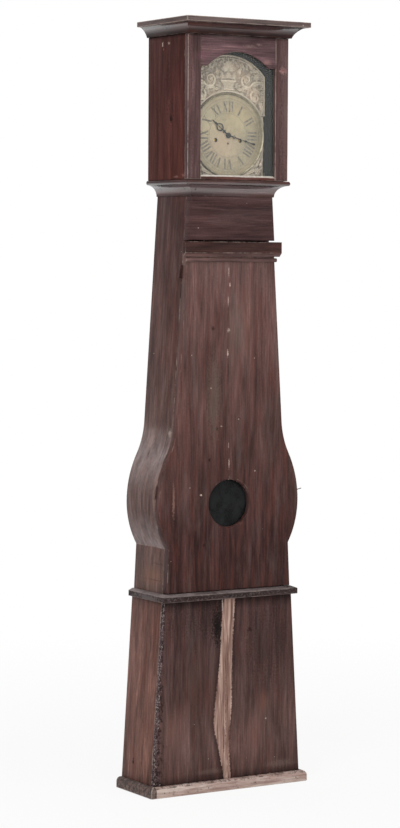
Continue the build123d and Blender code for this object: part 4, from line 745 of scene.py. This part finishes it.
def leaf(x, z, root, tip, width, lobes=0, bend=0.0):
    # a pointed oval from root to tip, with a sunk midrib and a scalloped edge
    runX, runZ = tip[0] - root[0], tip[1] - root[1]
    length = math.hypot(runX, runZ)
    along = ((x - root[0]) * runX + (z - root[1]) * runZ) / length ** 2
    inner = np.clip(along, 0.001, 0.999)
    aside = ((z - root[1]) * runX - (x - root[0]) * runZ) / length - bend * length * np.sin(np.pi * inner)
    half = width * np.sin(np.pi * inner ** 0.75) * (1 + 0.2 * np.cos(2 * np.pi * lobes * inner))
    crown = np.sqrt(np.clip(1 - (aside / half) ** 2, 0, 1))
    rib = 1 - 0.55 * np.exp(-(aside / (0.18 * width)) ** 2)
    return np.where((along > 0) & (along < 1), crown * rib, 0)


def scroll(x, z, centre, radius, turns, hand, start, width):
    # a spiral band that narrows to its eye
    sideways, upwards = (x - centre[0]) * hand, z - centre[1]
    reach = np.hypot(sideways, upwards) + 1e-6
    shrink = math.log(5) / turns
    turned = (np.arctan2(upwards, sideways) - math.radians(start)) / (2 * np.pi)
    wound = np.log(radius / reach) / shrink
    nearest = np.round(wound - turned) + turned
    arm = radius * np.exp(-shrink * nearest)
    band = width * (0.3 + 0.7 * arm / radius)
    crown = np.sqrt(np.clip(1 - ((reach - arm) / band) ** 2, 0, 1))
    eye = np.sqrt(np.clip(1 - (reach / (0.2 * radius)) ** 2, 0, 1))
    return np.maximum(np.where((nearest >= 0) & (nearest <= turns), crown, 0), eye)


def rosette(x, z, centre, radius, petals):
    reach = np.hypot(x - centre[0], z - centre[1]) / radius
    turn = np.arctan2(z - centre[1], x - centre[0])
    outline = 0.7 + 0.3 * np.abs(np.cos(petals * turn / 2))
    petal = np.sqrt(np.clip(1 - (reach / outline) ** 4, 0, 1)) * (0.45 + 0.5 * reach)
    groove = 1 - 0.5 * np.exp(-(np.cos(petals * turn / 2) / 0.25) ** 2) * (reach > 0.3)
    eye = np.sqrt(np.clip(1 - (reach / 0.28) ** 2, 0, 1))
    return np.maximum(petal * groove, eye)


def beadRow(across, along, pitch, radius):
    step = (along / pitch - np.round(along / pitch)) * pitch
    return np.sqrt(np.clip(1 - (step ** 2 + across ** 2) / radius ** 2, 0, 1))


def ridge(distance, width):
    return np.sqrt(np.clip(1 - (distance / width) ** 2, 0, 1))


# Sizes from the dial's centre in millimetres. Each figure is a shape and its places and sizes, given for
# the right half (and for a corner the upper one) and mirrored.
pediment = {
    "half": 131, "foot": 60, "shoulder": 178, "top": 240, "clear": bezelRadius / mm, "seed": 11,
    "basket": dict(low=139, high=160, half=15, flare=0.4, rim=(26, 162, 3.2), foot=(17, 137, 2.6)),
    "plume": dict(turns=(0, 16, 33, 50), lengths=(34, 33, 31, 27), level=198, width=5.5),
    "figures": [
        (rosette, (0, 178), 11, 6), (rosette, (21, 174), 9, 5), (rosette, (11, 194), 8, 5),
        (rosette, (102, 176), 11, 8),
        (scroll, (64, 166), 25, 1.7, -1, 200, 5), (scroll, (96, 116), 19, 1.5, 1, 120, 4.5),
        (leaf, (84, 150), (122, 158), 9, 4, 0.12), (leaf, (88, 142), (116, 130), 8, 4, -0.1),
        (leaf, (46, 142), (88, 132), 8, 5, 0.14), (leaf, (30, 137), (62, 128), 5, 3, 0.1),
        (leaf, (112, 104), (122, 66), 7, 5, 0.05), (leaf, (78, 122), (102, 92), 6, 4, 0.12),
        (leaf, (84, 196), (62, 218), 6, 3, -0.15), (leaf, (88, 190), (112, 188), 5, 3, 0.15),
        (leaf, (40, 178), (47, 206), 6, 3, 0.1)],
}
spandrel = {
    "half": 125, "bottom": -126, "inner": 14, "seed": 23, "low": 20, "high": 130,
    "figures": [
        (rosette, (106, 106), 13, 8), (leaf, (100, 92), (117, 58), 7, 4, -0.06),
        (leaf, (94, 104), (52, 119), 6, 5, 0.05), (leaf, (94, 98), (84, 108), 5, 2),
        (scroll, (72, 116), 7, 1.2, 1, 40, 3), (leaf, (114, 92), (120, 72), 4, 2)],
}


ground = {"pitch": 9.0, "jitter": 3, "length": (11, 17), "rise": (0.45, 0.7), "width": (3, 4.5), "bend": 0.2}


def foliage(x, z, seed, half, low, high):
    # small leaves scattered over the ground on a jittered grid, at a fixed seed
    draw = np.random.default_rng(seed)
    jitter, bend = ground["jitter"], ground["bend"]
    leaves = np.zeros_like(x)
    for column in np.arange(0, half, ground["pitch"]):
        for level in np.arange(low, high, ground["pitch"]):
            turn, length = draw.uniform(0, 2 * np.pi), draw.uniform(*ground["length"])
            root = (column + draw.uniform(-jitter, jitter), level + draw.uniform(-jitter, jitter))
            tip = (root[0] + length * math.cos(turn), root[1] + length * math.sin(turn))
            rise, width = draw.uniform(*ground["rise"]), draw.uniform(*ground["width"])
            leaves = np.maximum(leaves, rise * leaf(x, z, root, tip, width, 2, draw.uniform(-bend, bend)))
    return leaves


def archRadius():
    rise = pediment["top"] - pediment["shoulder"]
    return (pediment["half"] ** 2 + rise ** 2) / (2 * rise)


def pedimentHeight(x, z):
    side = np.abs(x)
    radius = archRadius()
    middle = pediment["top"] - radius
    fromArch = radius - np.hypot(x, z - middle)
    fromSide = pediment["half"] - side
    border = np.minimum(fromArch, fromSide)
    along = np.where(fromArch < fromSide, np.arctan2(x, z - middle) * radius, z)
    fromBezel = np.hypot(x, z) - pediment["clear"]
    basket, plume = pediment["basket"], pediment["plume"]
    upBasket = z - basket["low"]
    woven = 0.6 + 0.3 * np.sin(side * 0.9) * np.sin(z * 1.1)
    inBasket = (upBasket > 0) & (z < basket["high"]) & (side < basket["half"] + basket["flare"] * upBasket)
    heights = [
        foliage(side, z, pediment["seed"], pediment["half"], pediment["foot"], pediment["top"]),
        0.75 * ridge(border - 3.5, 2.4), 0.8 * beadRow(border - 10.5, along, 7, 2.9),
        0.7 * ridge(fromBezel - 4.5, 3.2), np.where(inBasket, woven, 0)]
    for (half, level, width), rise in ((basket["rim"], 1.0), (basket["foot"], 0.9)):
        heights.append(np.where(side < half, rise * ridge(z - level, width), 0))
    heights += [shape(side, z, *sizes) for shape, *sizes in pediment["figures"]]
    for degrees, length in zip(plume["turns"], plume["lengths"]):
        turn = math.radians(degrees)
        root = (4 * math.sin(turn), plume["level"] - degrees * 0.15)
        tip = (root[0] + length * math.sin(turn), root[1] + length * math.cos(turn))
        heights.append(0.95 * leaf(side, z, root, tip, plume["width"], 3))
    return np.maximum.reduce(heights)


def spandrelHeight(x, z):
    side, drop = np.abs(x), np.abs(z)
    fromFoot = np.where(z < 0, z - spandrel["bottom"], np.inf)  # the upper corners have no foot
    edge = np.minimum(spandrel["half"] - side, fromFoot)
    fromBezel = np.hypot(x, z) - pediment["clear"]
    heights = [foliage(side, drop, spandrel["seed"], spandrel["half"], spandrel["low"], spandrel["high"]),
               0.7 * ridge(edge - 3, 2), 0.7 * ridge(fromBezel - 4, 3)]
    heights += [shape(side, drop, *sizes) for shape, *sizes in spandrel["figures"]]
    return np.maximum.reduce(heights)


def reliefMesh(name, startX, endX, lowOf, highOf, backY, heightOf):
    # columns of points between a lower and an upper edge, pressed out from the sheet
    columns = max(2, int(abs(endX - startX) * mm / relief["cell"]))
    x = np.linspace(startX, endX, columns + 1)
    low, high = lowOf(x), highOf(x)
    rows = max(2, int((high - low).max() * mm / relief["cell"]))
    share = np.linspace(0, 1, rows + 1)
    gridX = np.repeat(x[:, None], rows + 1, axis=1)
    gridZ = low[:, None] + (high - low)[:, None] * share[None, :]
    waveX, waveZ = gridX * 2.1 + 1.3 * np.sin(gridZ * 1.7), gridZ * 2.3 + np.sin(gridX * 1.1)
    grit = 0.5 + 0.5 * np.sin(waveX) * np.sin(waveZ)
    pressed = np.maximum(heightOf(gridX, gridZ), relief["groundGrit"] * grit)
    pressed = pressed * np.minimum(1, np.minimum(share, 1 - share) * rows / 2)[None, :]  # flat at its edges
    frontY = backY - relief["rise"] * pressed - relief["sheet"]
    front = np.stack([dialX + gridX * mm, frontY, dialZ + gridZ * mm], axis=-1).reshape(-1, 3)
    number = np.arange(len(front)).reshape(columns + 1, rows + 1)
    quads = np.stack([number[:-1, :-1], number[1:, :-1], number[1:, 1:], number[:-1, 1:]], axis=-1)
    rim = [*number[:, 0], *number[-1, 1:], *number[-2::-1, -1], *number[0, -2:0:-1]]
    vertices = [tuple(v) for v in front] + [(front[i][0], backY, front[i][2]) for i in rim]
    faces = [tuple(int(i) for i in quad) for quad in quads.reshape(-1, 4)]
    count, size = len(front), len(rim)
    for i in range(size):
        j = (i + 1) % size
        faces.append((int(rim[j]), int(rim[i]), count + i, count + j))
    faces.append(tuple(count + i for i in range(size))[::-1])
    mesh = meshFrom(name, vertices, faces)
    values = np.concatenate([pressed.reshape(-1), np.zeros(size)]).astype(np.float32)
    mesh.attributes.new("relief", "FLOAT", "POINT").data.foreach_set("value", values)
    return mesh


def circleLevel(x):
    return np.sqrt(np.clip(pediment["clear"] ** 2 - x ** 2, 0, None))


def makeOrnament():
    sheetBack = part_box("dial_pediment")[1][1]
    radius = archRadius()
    middle = pediment["top"] - radius
    mesh = reliefMesh("pediment", -pediment["half"], pediment["half"],
                      lambda x: np.maximum(pediment["foot"], circleLevel(x)),
                      lambda x: middle + np.sqrt(np.clip(radius ** 2 - x ** 2, 0, None)),
                      sheetBack, pedimentHeight)
    placePiece("pressed_pediment", mesh, reliefBrass, bodyOf["dial_pediment"],
               ("dial_pediment",), smooth=True)
    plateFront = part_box("dial_plate")[0][1]
    upperInner = math.sqrt(pediment["clear"] ** 2 - pediment["foot"] ** 2)
    corners = {"lower": (spandrel["inner"], lambda x: np.full_like(x, spandrel["bottom"]),
                         lambda x: -circleLevel(x)),
               "upper": (upperInner, circleLevel, lambda x: np.full_like(x, pediment["foot"]))}
    for side, name in ((-1, "left"), (1, "right")):
        for level, (inner, lowOf, highOf) in corners.items():
            start, end = sorted((side * inner, side * spandrel["half"]))
            mesh = reliefMesh("corner", start, end, lowOf, highOf, plateFront, spandrelHeight)
            placePiece(f"pressed_{level}_corner_{name}", mesh, reliefBrass, bodyOf["dial_plate"],
                       smooth=True)


makeOrnament()
print("dial ornament pressed")

# Hours cut into the brass and filled with dark wax, now faded to grey brown.
waxFill = cloudedMaterial("fadedEngravingWax", "#625d54", "#9f9582", metallic=0.0, roughness=0.7, cloudMm=9)
chapters = {
    "inner": 71, "height": 28, "gap": 0.1, "serif": 0.06, "sunk": 0.05 * mm, "proud": 0.12 * mm,
    "ringSteps": 144, "rings": ((64.5, 0.7), (66.5, 0.4), (101, 0.5), (108, 0.8), (116.5, 0.5)),
    "tickInner": 108.5, "tickLength": 4.5, "tickWidth": 0.7, "fifthLonger": 0.6,
    "words": ("XII", "I", "II", "III", "IIII", "V", "VI", "VII", "VIII", "IX", "X", "XI"),
    # widths in shares of the height: strokes as foot, head and width, and serifs as middle and width
    "letters": {
        "I": dict(advance=0.26, strokes=[(0.13, 0.13, 0.19)], top=[(0.13, 0.24)], foot=[(0.13, 0.24)]),
        "V": dict(advance=0.62, strokes=[(0.31, 0.12, 0.19), (0.33, 0.53, 0.06)],
                  top=[(0.12, 0.26), (0.53, 0.2)], foot=[]),
        "X": dict(advance=0.62, strokes=[(0.50, 0.12, 0.19), (0.12, 0.50, 0.06)],
                  top=[(0.12, 0.26), (0.50, 0.24)], foot=[(0.12, 0.26), (0.50, 0.24)])},
}


def wordOutlines(word):
    # the strokes and serifs of one word as outlines along (u) and up (v) its line, in shares of the height
    serif, gap, letters = chapters["serif"], chapters["gap"], chapters["letters"]
    start = -(sum(letters[c]["advance"] for c in word) + gap * (len(word) - 1)) / 2
    outlines = []
    for letter in word:
        shape = letters[letter]
        for foot, head, width in shape["strokes"]:
            foot, head, half = start + foot, start + head, width / 2
            outlines.append([(foot - half, 0), (foot + half, 0), (head + half, 1), (head - half, 1)])
        for edge, low, high in (("top", 1, 1 + serif), ("foot", -serif, 0)):
            for middle, width in shape[edge]:
                left, right = start + middle - width / 2, start + middle + width / 2
                outlines.append([(left, low), (right, low), (right, high), (left, high)])
        start += shape["advance"] + gap
    return outlines


def onDial(x, z, rise):
    return dialX + x * mm, dialFront + rise, dialZ + z * mm


def makeChapters():
    vertices, faces = [], []
    sheet = (chapters["sunk"], -chapters["proud"])
    for hour, word in enumerate(chapters["words"]):
        turn = hour * math.pi / 6
        for outline in wordOutlines(word):
            first, size = len(vertices), len(outline)
            for rise in sheet:
                for u, v in outline:
                    outward, sideways = chapters["inner"] + v * chapters["height"], u * chapters["height"]
                    vertices.append(onDial(math.sin(turn) * outward + math.cos(turn) * sideways,
                                           math.cos(turn) * outward - math.sin(turn) * sideways, rise))
            faces.append(tuple(first + size + i for i in range(size)))
            faces.append(tuple(first + i for i in range(size))[::-1])
            for i in range(size):
                j = (i + 1) % size
                faces.append((first + i, first + j, first + size + j, first + size + i))
    steps = chapters["ringSteps"]
    for radius, width in chapters["rings"]:
        first = len(vertices)
        for rise in sheet:
            for reach in (radius, radius + width):
                for i in range(steps):
                    turn = 2 * math.pi * i / steps
                    vertices.append(onDial(reach * math.cos(turn), reach * math.sin(turn), rise))
        for i in range(steps):
            j = (i + 1) % steps
            backIn, backOut, frontIn, frontOut = (first + k * steps for k in range(4))
            faces += [(frontIn + i, frontOut + i, frontOut + j, frontIn + j),
                      (backIn + j, backOut + j, backOut + i, backIn + i),
                      (frontOut + i, backOut + i, backOut + j, frontOut + j),
                      (frontIn + j, backIn + j, backIn + i, frontIn + i)]
    mesh = meshFrom("chapters", vertices, faces)
    placePiece("engraved_chapters", mesh, waxFill, bodyOf["chapter_disc"])


makeChapters()


def newGroup(name, inputs):
    # a geometry tree with named inputs; returns the tree, its input sockets and their identifiers
    tree = bpy.data.node_groups.new(name, "GeometryNodeTree")
    names = {}
    for label, kind, value in inputs:
        socket = tree.interface.new_socket(name=label, in_out="INPUT", socket_type=kind)
        names[label] = (socket.identifier, value)
    tree.interface.new_socket(name="Geometry", in_out="OUTPUT", socket_type="NodeSocketGeometry")
    return tree, addNode(tree, "NodeGroupInput").outputs, names


def bakeGroup(name, tree, names, geometry, material):
    # closes the tree, runs it on an empty mesh and keeps the plain result
    real = addNode(tree, "GeometryNodeRealizeInstances", {"Geometry": geometry}).outputs[0]
    dressed = addNode(tree, "GeometryNodeSetMaterial", {"Geometry": real, "Material": material}).outputs[0]
    addNode(tree, "NodeGroupOutput", {"Geometry": dressed})
    carrier = bpy.data.objects.new(name, bpy.data.meshes.new(name))
    bpy.context.scene.collection.objects.link(carrier)
    modifier = carrier.modifiers.new("shape", "NODES")
    modifier.node_group = tree
    for identifier, value in names.values():
        modifier[identifier] = value
    bpy.context.view_layer.update()
    evaluated = carrier.evaluated_get(bpy.context.evaluated_depsgraph_get())
    mesh = bpy.data.meshes.new_from_object(evaluated)
    bpy.data.objects.remove(carrier)
    return mesh


def makeMinuteMarks():
    # sixty strokes round the chapter ring, each fifth one longer
    tree, given, names = newGroup("minuteMarks", [
        ("Count", "NodeSocketInt", 60), ("Inner", "NodeSocketFloat", chapters["tickInner"] * mm),
        ("Length", "NodeSocketFloat", chapters["tickLength"] * mm),
        ("Width", "NodeSocketFloat", chapters["tickWidth"] * mm),
        ("Proud", "NodeSocketFloat", chapters["proud"]),
        ("Extra", "NodeSocketFloat", chapters["fifthLonger"]),
        ("Place", "NodeSocketVector", (dialX, dialFront, dialZ))])
    middle = addNode(tree, "ShaderNodeMath", {0: given["Length"], 1: 0.5, 2: given["Inner"]},
                     operation="MULTIPLY_ADD")
    ring = addNode(tree, "GeometryNodeMeshCircle", {"Vertices": given["Count"], "Radius": middle})
    index = addNode(tree, "GeometryNodeInputIndex")
    turn = addNode(tree, "ShaderNodeMath", {0: index, 1: given["Count"]}, operation="DIVIDE")
    turn = addNode(tree, "ShaderNodeMath", {0: turn, 1: 2 * math.pi}, operation="MULTIPLY")
    rest = addNode(tree, "ShaderNodeMath", {0: index, 1: 5.0}, operation="MODULO")
    isFifth = addNode(tree, "ShaderNodeMath", {0: rest, 1: 0.5}, operation="LESS_THAN")
    longer = addNode(tree, "ShaderNodeMath", {0: isFifth, 1: given["Extra"], 2: 1.0}, operation="MULTIPLY_ADD")
    size = addNode(tree, "ShaderNodeCombineXYZ", {0: given["Length"], 1: given["Width"],
                   2: given["Proud"]}).outputs[0]
    stroke = addNode(tree, "GeometryNodeMeshCube", {"Size": size}).outputs[0]
    spin = addNode(tree, "ShaderNodeCombineXYZ", {2: turn}).outputs[0]
    stretch = addNode(tree, "ShaderNodeCombineXYZ", {0: 1.0, 1: longer, 2: 1.0}).outputs[0]
    marks = addNode(tree, "GeometryNodeInstanceOnPoints", {"Points": ring, "Instance": stroke,
                    "Rotation": spin, "Scale": stretch}).outputs[0]
    upright = addNode(tree, "GeometryNodeTransform", {"Geometry": marks, "Translation": given["Place"],
                      "Rotation": (math.pi / 2, 0, 0)}).outputs[0]
    mesh = bakeGroup("minuteMarks", tree, names, upright, waxFill)
    placePiece("minute_marks", mesh, waxFill, bodyOf["chapter_disc"])


makeMinuteMarks()

# Iron nails punched nearly flush, four in the foot moulding and three in the strip on the door.
nails = {"radius": 1.7 * mm, "proud": 0.5 * mm, "sides": 10, "centre": 0.1 * mm,
         "foot": dict(across=(-232, -78, 88, 236), overFloor=15),
         "strip": dict(across=(-140, -4, 138), underTop=17)}


def makeNails(name, body, places, normal):
    # flat nail heads on chosen points, their faces along the given direction
    tree, given, names = newGroup(name, [
        ("Radius", "NodeSocketFloat", nails["radius"]), ("Proud", "NodeSocketFloat", nails["proud"]),
        ("Sides", "NodeSocketInt", nails["sides"])])
    joined = addNode(tree, "GeometryNodeJoinGeometry")
    for place in places:
        point = addNode(tree, "GeometryNodeMeshLine", {"Count": 1, "Start Location": place}).outputs[0]
        tree.links.new(point, joined.inputs[0])
    head = addNode(tree, "GeometryNodeMeshCylinder", {"Vertices": given["Sides"], "Radius": given["Radius"],
                   "Depth": given["Proud"]}).outputs[0]
    turn = Vector((0, 0, 1)).rotation_difference(Vector(normal)).to_euler()
    heads = addNode(tree, "GeometryNodeInstanceOnPoints", {"Points": joined.outputs[0], "Instance": head,
                    "Rotation": tuple(turn)}).outputs[0]
    mesh = bakeGroup(name, tree, names, heads, metalOf["forgedIron"])
    placePiece(name, mesh, metalOf["forgedIron"], body)


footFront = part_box("base_moulding")[0][1] - nails["centre"]
makeNails("foot_moulding_nails", bodyOf["base_moulding"],
          [(x * mm, footFront, nails["foot"]["overFloor"] * mm) for x in nails["foot"]["across"]], (0, -1, 0))
stripLow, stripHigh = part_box("trunk_door_moulding")
stripNailed = stripHigh[2] - nails["strip"]["underTop"] * mm
makeNails("strip_nails", bodyOf["trunk_door_moulding"],
          [(x * mm, stripLow[1] - nails["centre"], stripNailed) for x in nails["strip"]["across"]], (0, -1, 0))
print("repeated details made with Geometry Nodes")

# Pierced steel hands. Profiles are (along the hand, half width) in millimetres from the arbor, and each
# pierced opening is an outline of the right half that is mirrored.
handEdge = {"bevel": 0.15 * mm, "resolution": 5, "holePoints": 8}
hands = {
    "hour_hand": {"turn": 308.75, "hole": 4.4, "thickness": 1.2,
                  "profile": [(-8.4, 0), (-6, 6), (0, 8.5), (6, 6), (9, 2.4), (13, 1.8), (16, 2.6), (18.5, 6),
                              (21, 2.4), (25, 2.2), (28, 6.5), (33, 10.2), (39, 11.5), (45, 9.2), (50, 4.4),
                              (53, 2.0), (56, 3.6), (59, 2.2), (65, 1.3), (71, 0)],
                  "pierced": [[(29.5, 1.3), (31.5, 5.6), (36, 8.2), (40, 8.6), (44.5, 6.6), (48.5, 1.3),
                               (39, 1.0)]]},
    "minute_hand": {"turn": 105, "hole": 3.4, "thickness": 1.2,
                    "profile": [(-6.4, 0), (-4.5, 4.6), (0, 6.5), (4.5, 4.6), (7, 2.2), (12, 1.4), (15, 2.2),
                                (18, 5.0), (21, 4.2), (24, 1.6), (30, 1.2), (58, 1.1), (62, 3.0), (66, 1.3),
                                (80, 0.9), (96, 0)],
                    "pierced": [[(15.8, 0.8), (18, 3.0), (20.6, 2.4), (22, 0.8)]]},
}


def addOutline(curve, points):
    spline = curve.splines.new("BEZIER")
    spline.bezier_points.add(len(points) - 1)
    for knotPoint, (across, along) in zip(spline.bezier_points, points):
        knotPoint.co = (across * mm, along * mm, 0)
        knotPoint.handle_left_type = knotPoint.handle_right_type = "AUTO"
    spline.use_cyclic_u = True
    spline.resolution_u = handEdge["resolution"]


def makeHand(node, shape):
    low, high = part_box(node)
    curve = bpy.data.curves.new(node, "CURVE")
    curve.dimensions, curve.fill_mode = "2D", "BOTH"
    curve.bevel_depth = handEdge["bevel"]
    curve.extrude = shape["thickness"] / 2 * mm - curve.bevel_depth
    right = [(wide, along) for along, wide in shape["profile"]]
    addOutline(curve, right + [(-wide, along) for wide, along in reversed(right[1:-1])])
    for hole in shape["pierced"]:
        addOutline(curve, [(wide, along) for along, wide in hole])
        addOutline(curve, [(-wide, along) for along, wide in reversed(hole)])
    step = 2 * math.pi / handEdge["holePoints"]
    addOutline(curve, [(shape["hole"] * math.cos(i * step), shape["hole"] * math.sin(i * step))
                       for i in range(handEdge["holePoints"])])
    flat = bpy.data.objects.new(node, curve)
    bpy.context.scene.collection.objects.link(flat)
    bpy.context.view_layer.update()
    mesh = bpy.data.meshes.new_from_object(flat.evaluated_get(bpy.context.evaluated_depsgraph_get()))
    bpy.data.objects.remove(flat)
    turn = math.radians(shape["turn"])
    turned = Matrix(((math.cos(turn), math.sin(turn), 0), (0, 0, -1), (-math.sin(turn), math.cos(turn), 0)))
    mesh.transform(Matrix.Translation((dialX, (low[1] + high[1]) / 2, dialZ)) @ turned.to_4x4())
    placePiece("pierced_" + node, mesh, metalOf["blackenedSteel"], bodyOf[node], (node,))


for handNode, handShape in hands.items():
    makeHand(handNode, handShape)

# Gut lines of the two weights: each runs from its barrel to the weight's hook.
gutLine = cloudedMaterial("gutLine", "#6d5b43", "#97815f", metallic=0.0, roughness=0.6, cloudMm=2)
gutLines = {"rings": 24, "sides": 10, "hangs": {"going_cord": "going_hung", "strike_cord": "strike_hung"}}


def makeLine(node):
    low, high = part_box(node)
    middle, radius = (Vector(low) + Vector(high)) / 2, (high[0] - low[0]) / 2
    rings, sides = gutLines["rings"], gutLines["sides"]
    vertices, faces = [], []
    for i in range(rings + 1):
        level = low[2] + (high[2] - low[2]) * i / rings
        for k in range(sides):
            turn = 2 * math.pi * k / sides
            vertices.append((middle.x + radius * math.cos(turn), middle.y + radius * math.sin(turn), level))
    for i in range(rings):
        for k in range(sides):
            a, b = i * sides + k, i * sides + (k + 1) % sides
            faces.append((a, b, b + sides, a + sides))
    faces += [tuple(range(sides))[::-1], tuple(rings * sides + k for k in range(sides))]
    mesh = meshFrom(node, vertices, faces)
    mesh.materials.append(gutLine)
    item = bpy.data.objects.new("gut_" + node, mesh)
    bpy.context.scene.collection.objects.link(item)
    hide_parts(node)
    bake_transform(item)


for cordNode, hungWeight in gutLines["hangs"].items():
    makeLine(cordNode)

# Linseed putty in the glass rebate, dried nearly white.
puttyWhite = cloudedMaterial("driedPutty", "#b9b1a6", "#e8e2d8", metallic=0.0, roughness=0.8, cloudMm=9)
putty = {"reach": 9 * mm, "rise": 5 * mm, "short": 1 * mm, "clear": 0.1 * mm, "wave": 0.5 * mm, "steps": 40}


def makePutty():
    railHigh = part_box("hood_door_bottom_rail")[1]
    half, sill = railHigh[0] - putty["short"], railHigh[2] + putty["clear"]
    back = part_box("hood_door_glass")[0][1] - putty["clear"]
    steps = putty["steps"]
    vertices, faces = [], []
    for i in range(steps + 1):
        x = -half + 2 * half * i / steps
        wave = putty["wave"] * math.sin(i * 1.9) * math.sin(i * 0.7)
        vertices += [(x, back, sill), (x, back - putty["reach"] - wave, sill),
                     (x, back - 0.35 * putty["reach"], sill + 0.75 * putty["rise"] + wave),
                     (x, back, sill + putty["rise"])]
    for i in range(steps):
        for k in range(4):
            a, b = 4 * i + k, 4 * i + (k + 1) % 4
            faces.append((a, b, b + 4, a + 4))
    faces += [(3, 2, 1, 0), tuple(4 * steps + k for k in range(4))]
    mesh = meshFrom("putty", vertices, faces)
    work = bmesh.new()
    work.from_mesh(mesh)
    bmesh.ops.recalc_face_normals(work, faces=work.faces)
    work.to_mesh(mesh)
    work.free()
    placePiece("glazing_putty", mesh, puttyWhite, bodyOf["hood_door_glass"], smooth=True)


makePutty()
print("hands and putty made")

# Metres, and each lamp's place, width and watts. The floor glows a little less near the clock.
studio = {
    "white": "#ffffff", "worldStrength": 0.51, "floorSize": 30, "floor": "#f4f4f4", "floorRoughness": 0.9,
    "nearGlow": 0.88, "fadeFrom": 0.9, "fadeTo": 3.2, "aim": (0, 0, 1.2),
    "lamps": {"key": ((-4.4, -3.4, 4.0), 2.4, 120), "fill": ((3.2, -5.5, 2.0), 2.6, 52),
              "top": ((-0.4, -1.6, 5.4), 1.8, 39)},
}


def seenByEye(tree):
    # white for rays from the camera, and for those that metal or glass sends on
    path = addNode(tree, "ShaderNodeLightPath").outputs
    seen = addNode(tree, "ShaderNodeMath", {0: path["Is Camera Ray"], 1: path["Is Glossy Ray"]},
                   operation="MAXIMUM")
    return addNode(tree, "ShaderNodeMath", {0: seen, 1: path["Is Transmission Ray"]}, operation="MAXIMUM")


def makeStudio():
    world = bpy.data.worlds.new("paleStudio")
    bpy.context.scene.world = world
    world.use_nodes = True
    tree = world.node_tree
    background = tree.nodes["Background"]
    background.inputs["Color"].default_value = hexColour(studio["white"])
    strength = addNode(tree, "ShaderNodeMapRange", {"Value": seenByEye(tree), "To Min": studio["worldStrength"],
                       "To Max": 1.0})
    tree.links.new(strength.outputs[0], background.inputs["Strength"])
    half = studio["floorSize"] / 2
    floorMesh = meshFrom("floor", [(-half, -half, 0), (half, -half, 0), (half, half, 0), (-half, half, 0)],
                         [(0, 1, 2, 3)])
    floor = bpy.data.objects.new("floor", floorMesh)
    bpy.context.scene.collection.objects.link(floor)
    material, tree, shader = newMaterial("paleFloor")
    shader.inputs["Base Color"].default_value = hexColour(studio["floor"])
    shader.inputs["Roughness"].default_value = studio["floorRoughness"]
    place = addNode(tree, "ShaderNodeTexCoord").outputs["Object"]
    away = addNode(tree, "ShaderNodeVectorMath", {0: place}, operation="LENGTH").outputs["Value"]
    fade = addNode(tree, "ShaderNodeMapRange", {"Value": away, "From Min": studio["fadeFrom"],
                   "From Max": studio["fadeTo"], "To Min": studio["nearGlow"], "To Max": 1.0})
    share = addNode(tree, "ShaderNodeMath", {0: fade, 1: seenByEye(tree)}, operation="MULTIPLY")
    glow = addNode(tree, "ShaderNodeEmission", {"Color": hexColour(studio["white"]), "Strength": 1.0})
    mixed = addNode(tree, "ShaderNodeMixShader", {0: share, 1: shader.outputs[0], 2: glow.outputs[0]})
    tree.links.new(mixed.outputs[0], tree.nodes["Material Output"].inputs["Surface"])
    floorMesh.materials.append(material)
    for name, (spot, size, power) in studio["lamps"].items():
        data = bpy.data.lights.new(name, "AREA")
        data.shape, data.size, data.energy = "DISK", size, power
        lamp = bpy.data.objects.new(name, data)
        aim = Vector(studio["aim"]) - Vector(spot)
        lamp.matrix_world = Matrix.Translation(spot) @ aim.to_track_quat("-Z", "Y").to_matrix().to_4x4()
        lamp.visible_camera = False
        bpy.context.scene.collection.objects.link(lamp)
    bpy.context.scene.view_settings.view_transform = "Standard"


makeStudio()
print("studio made")
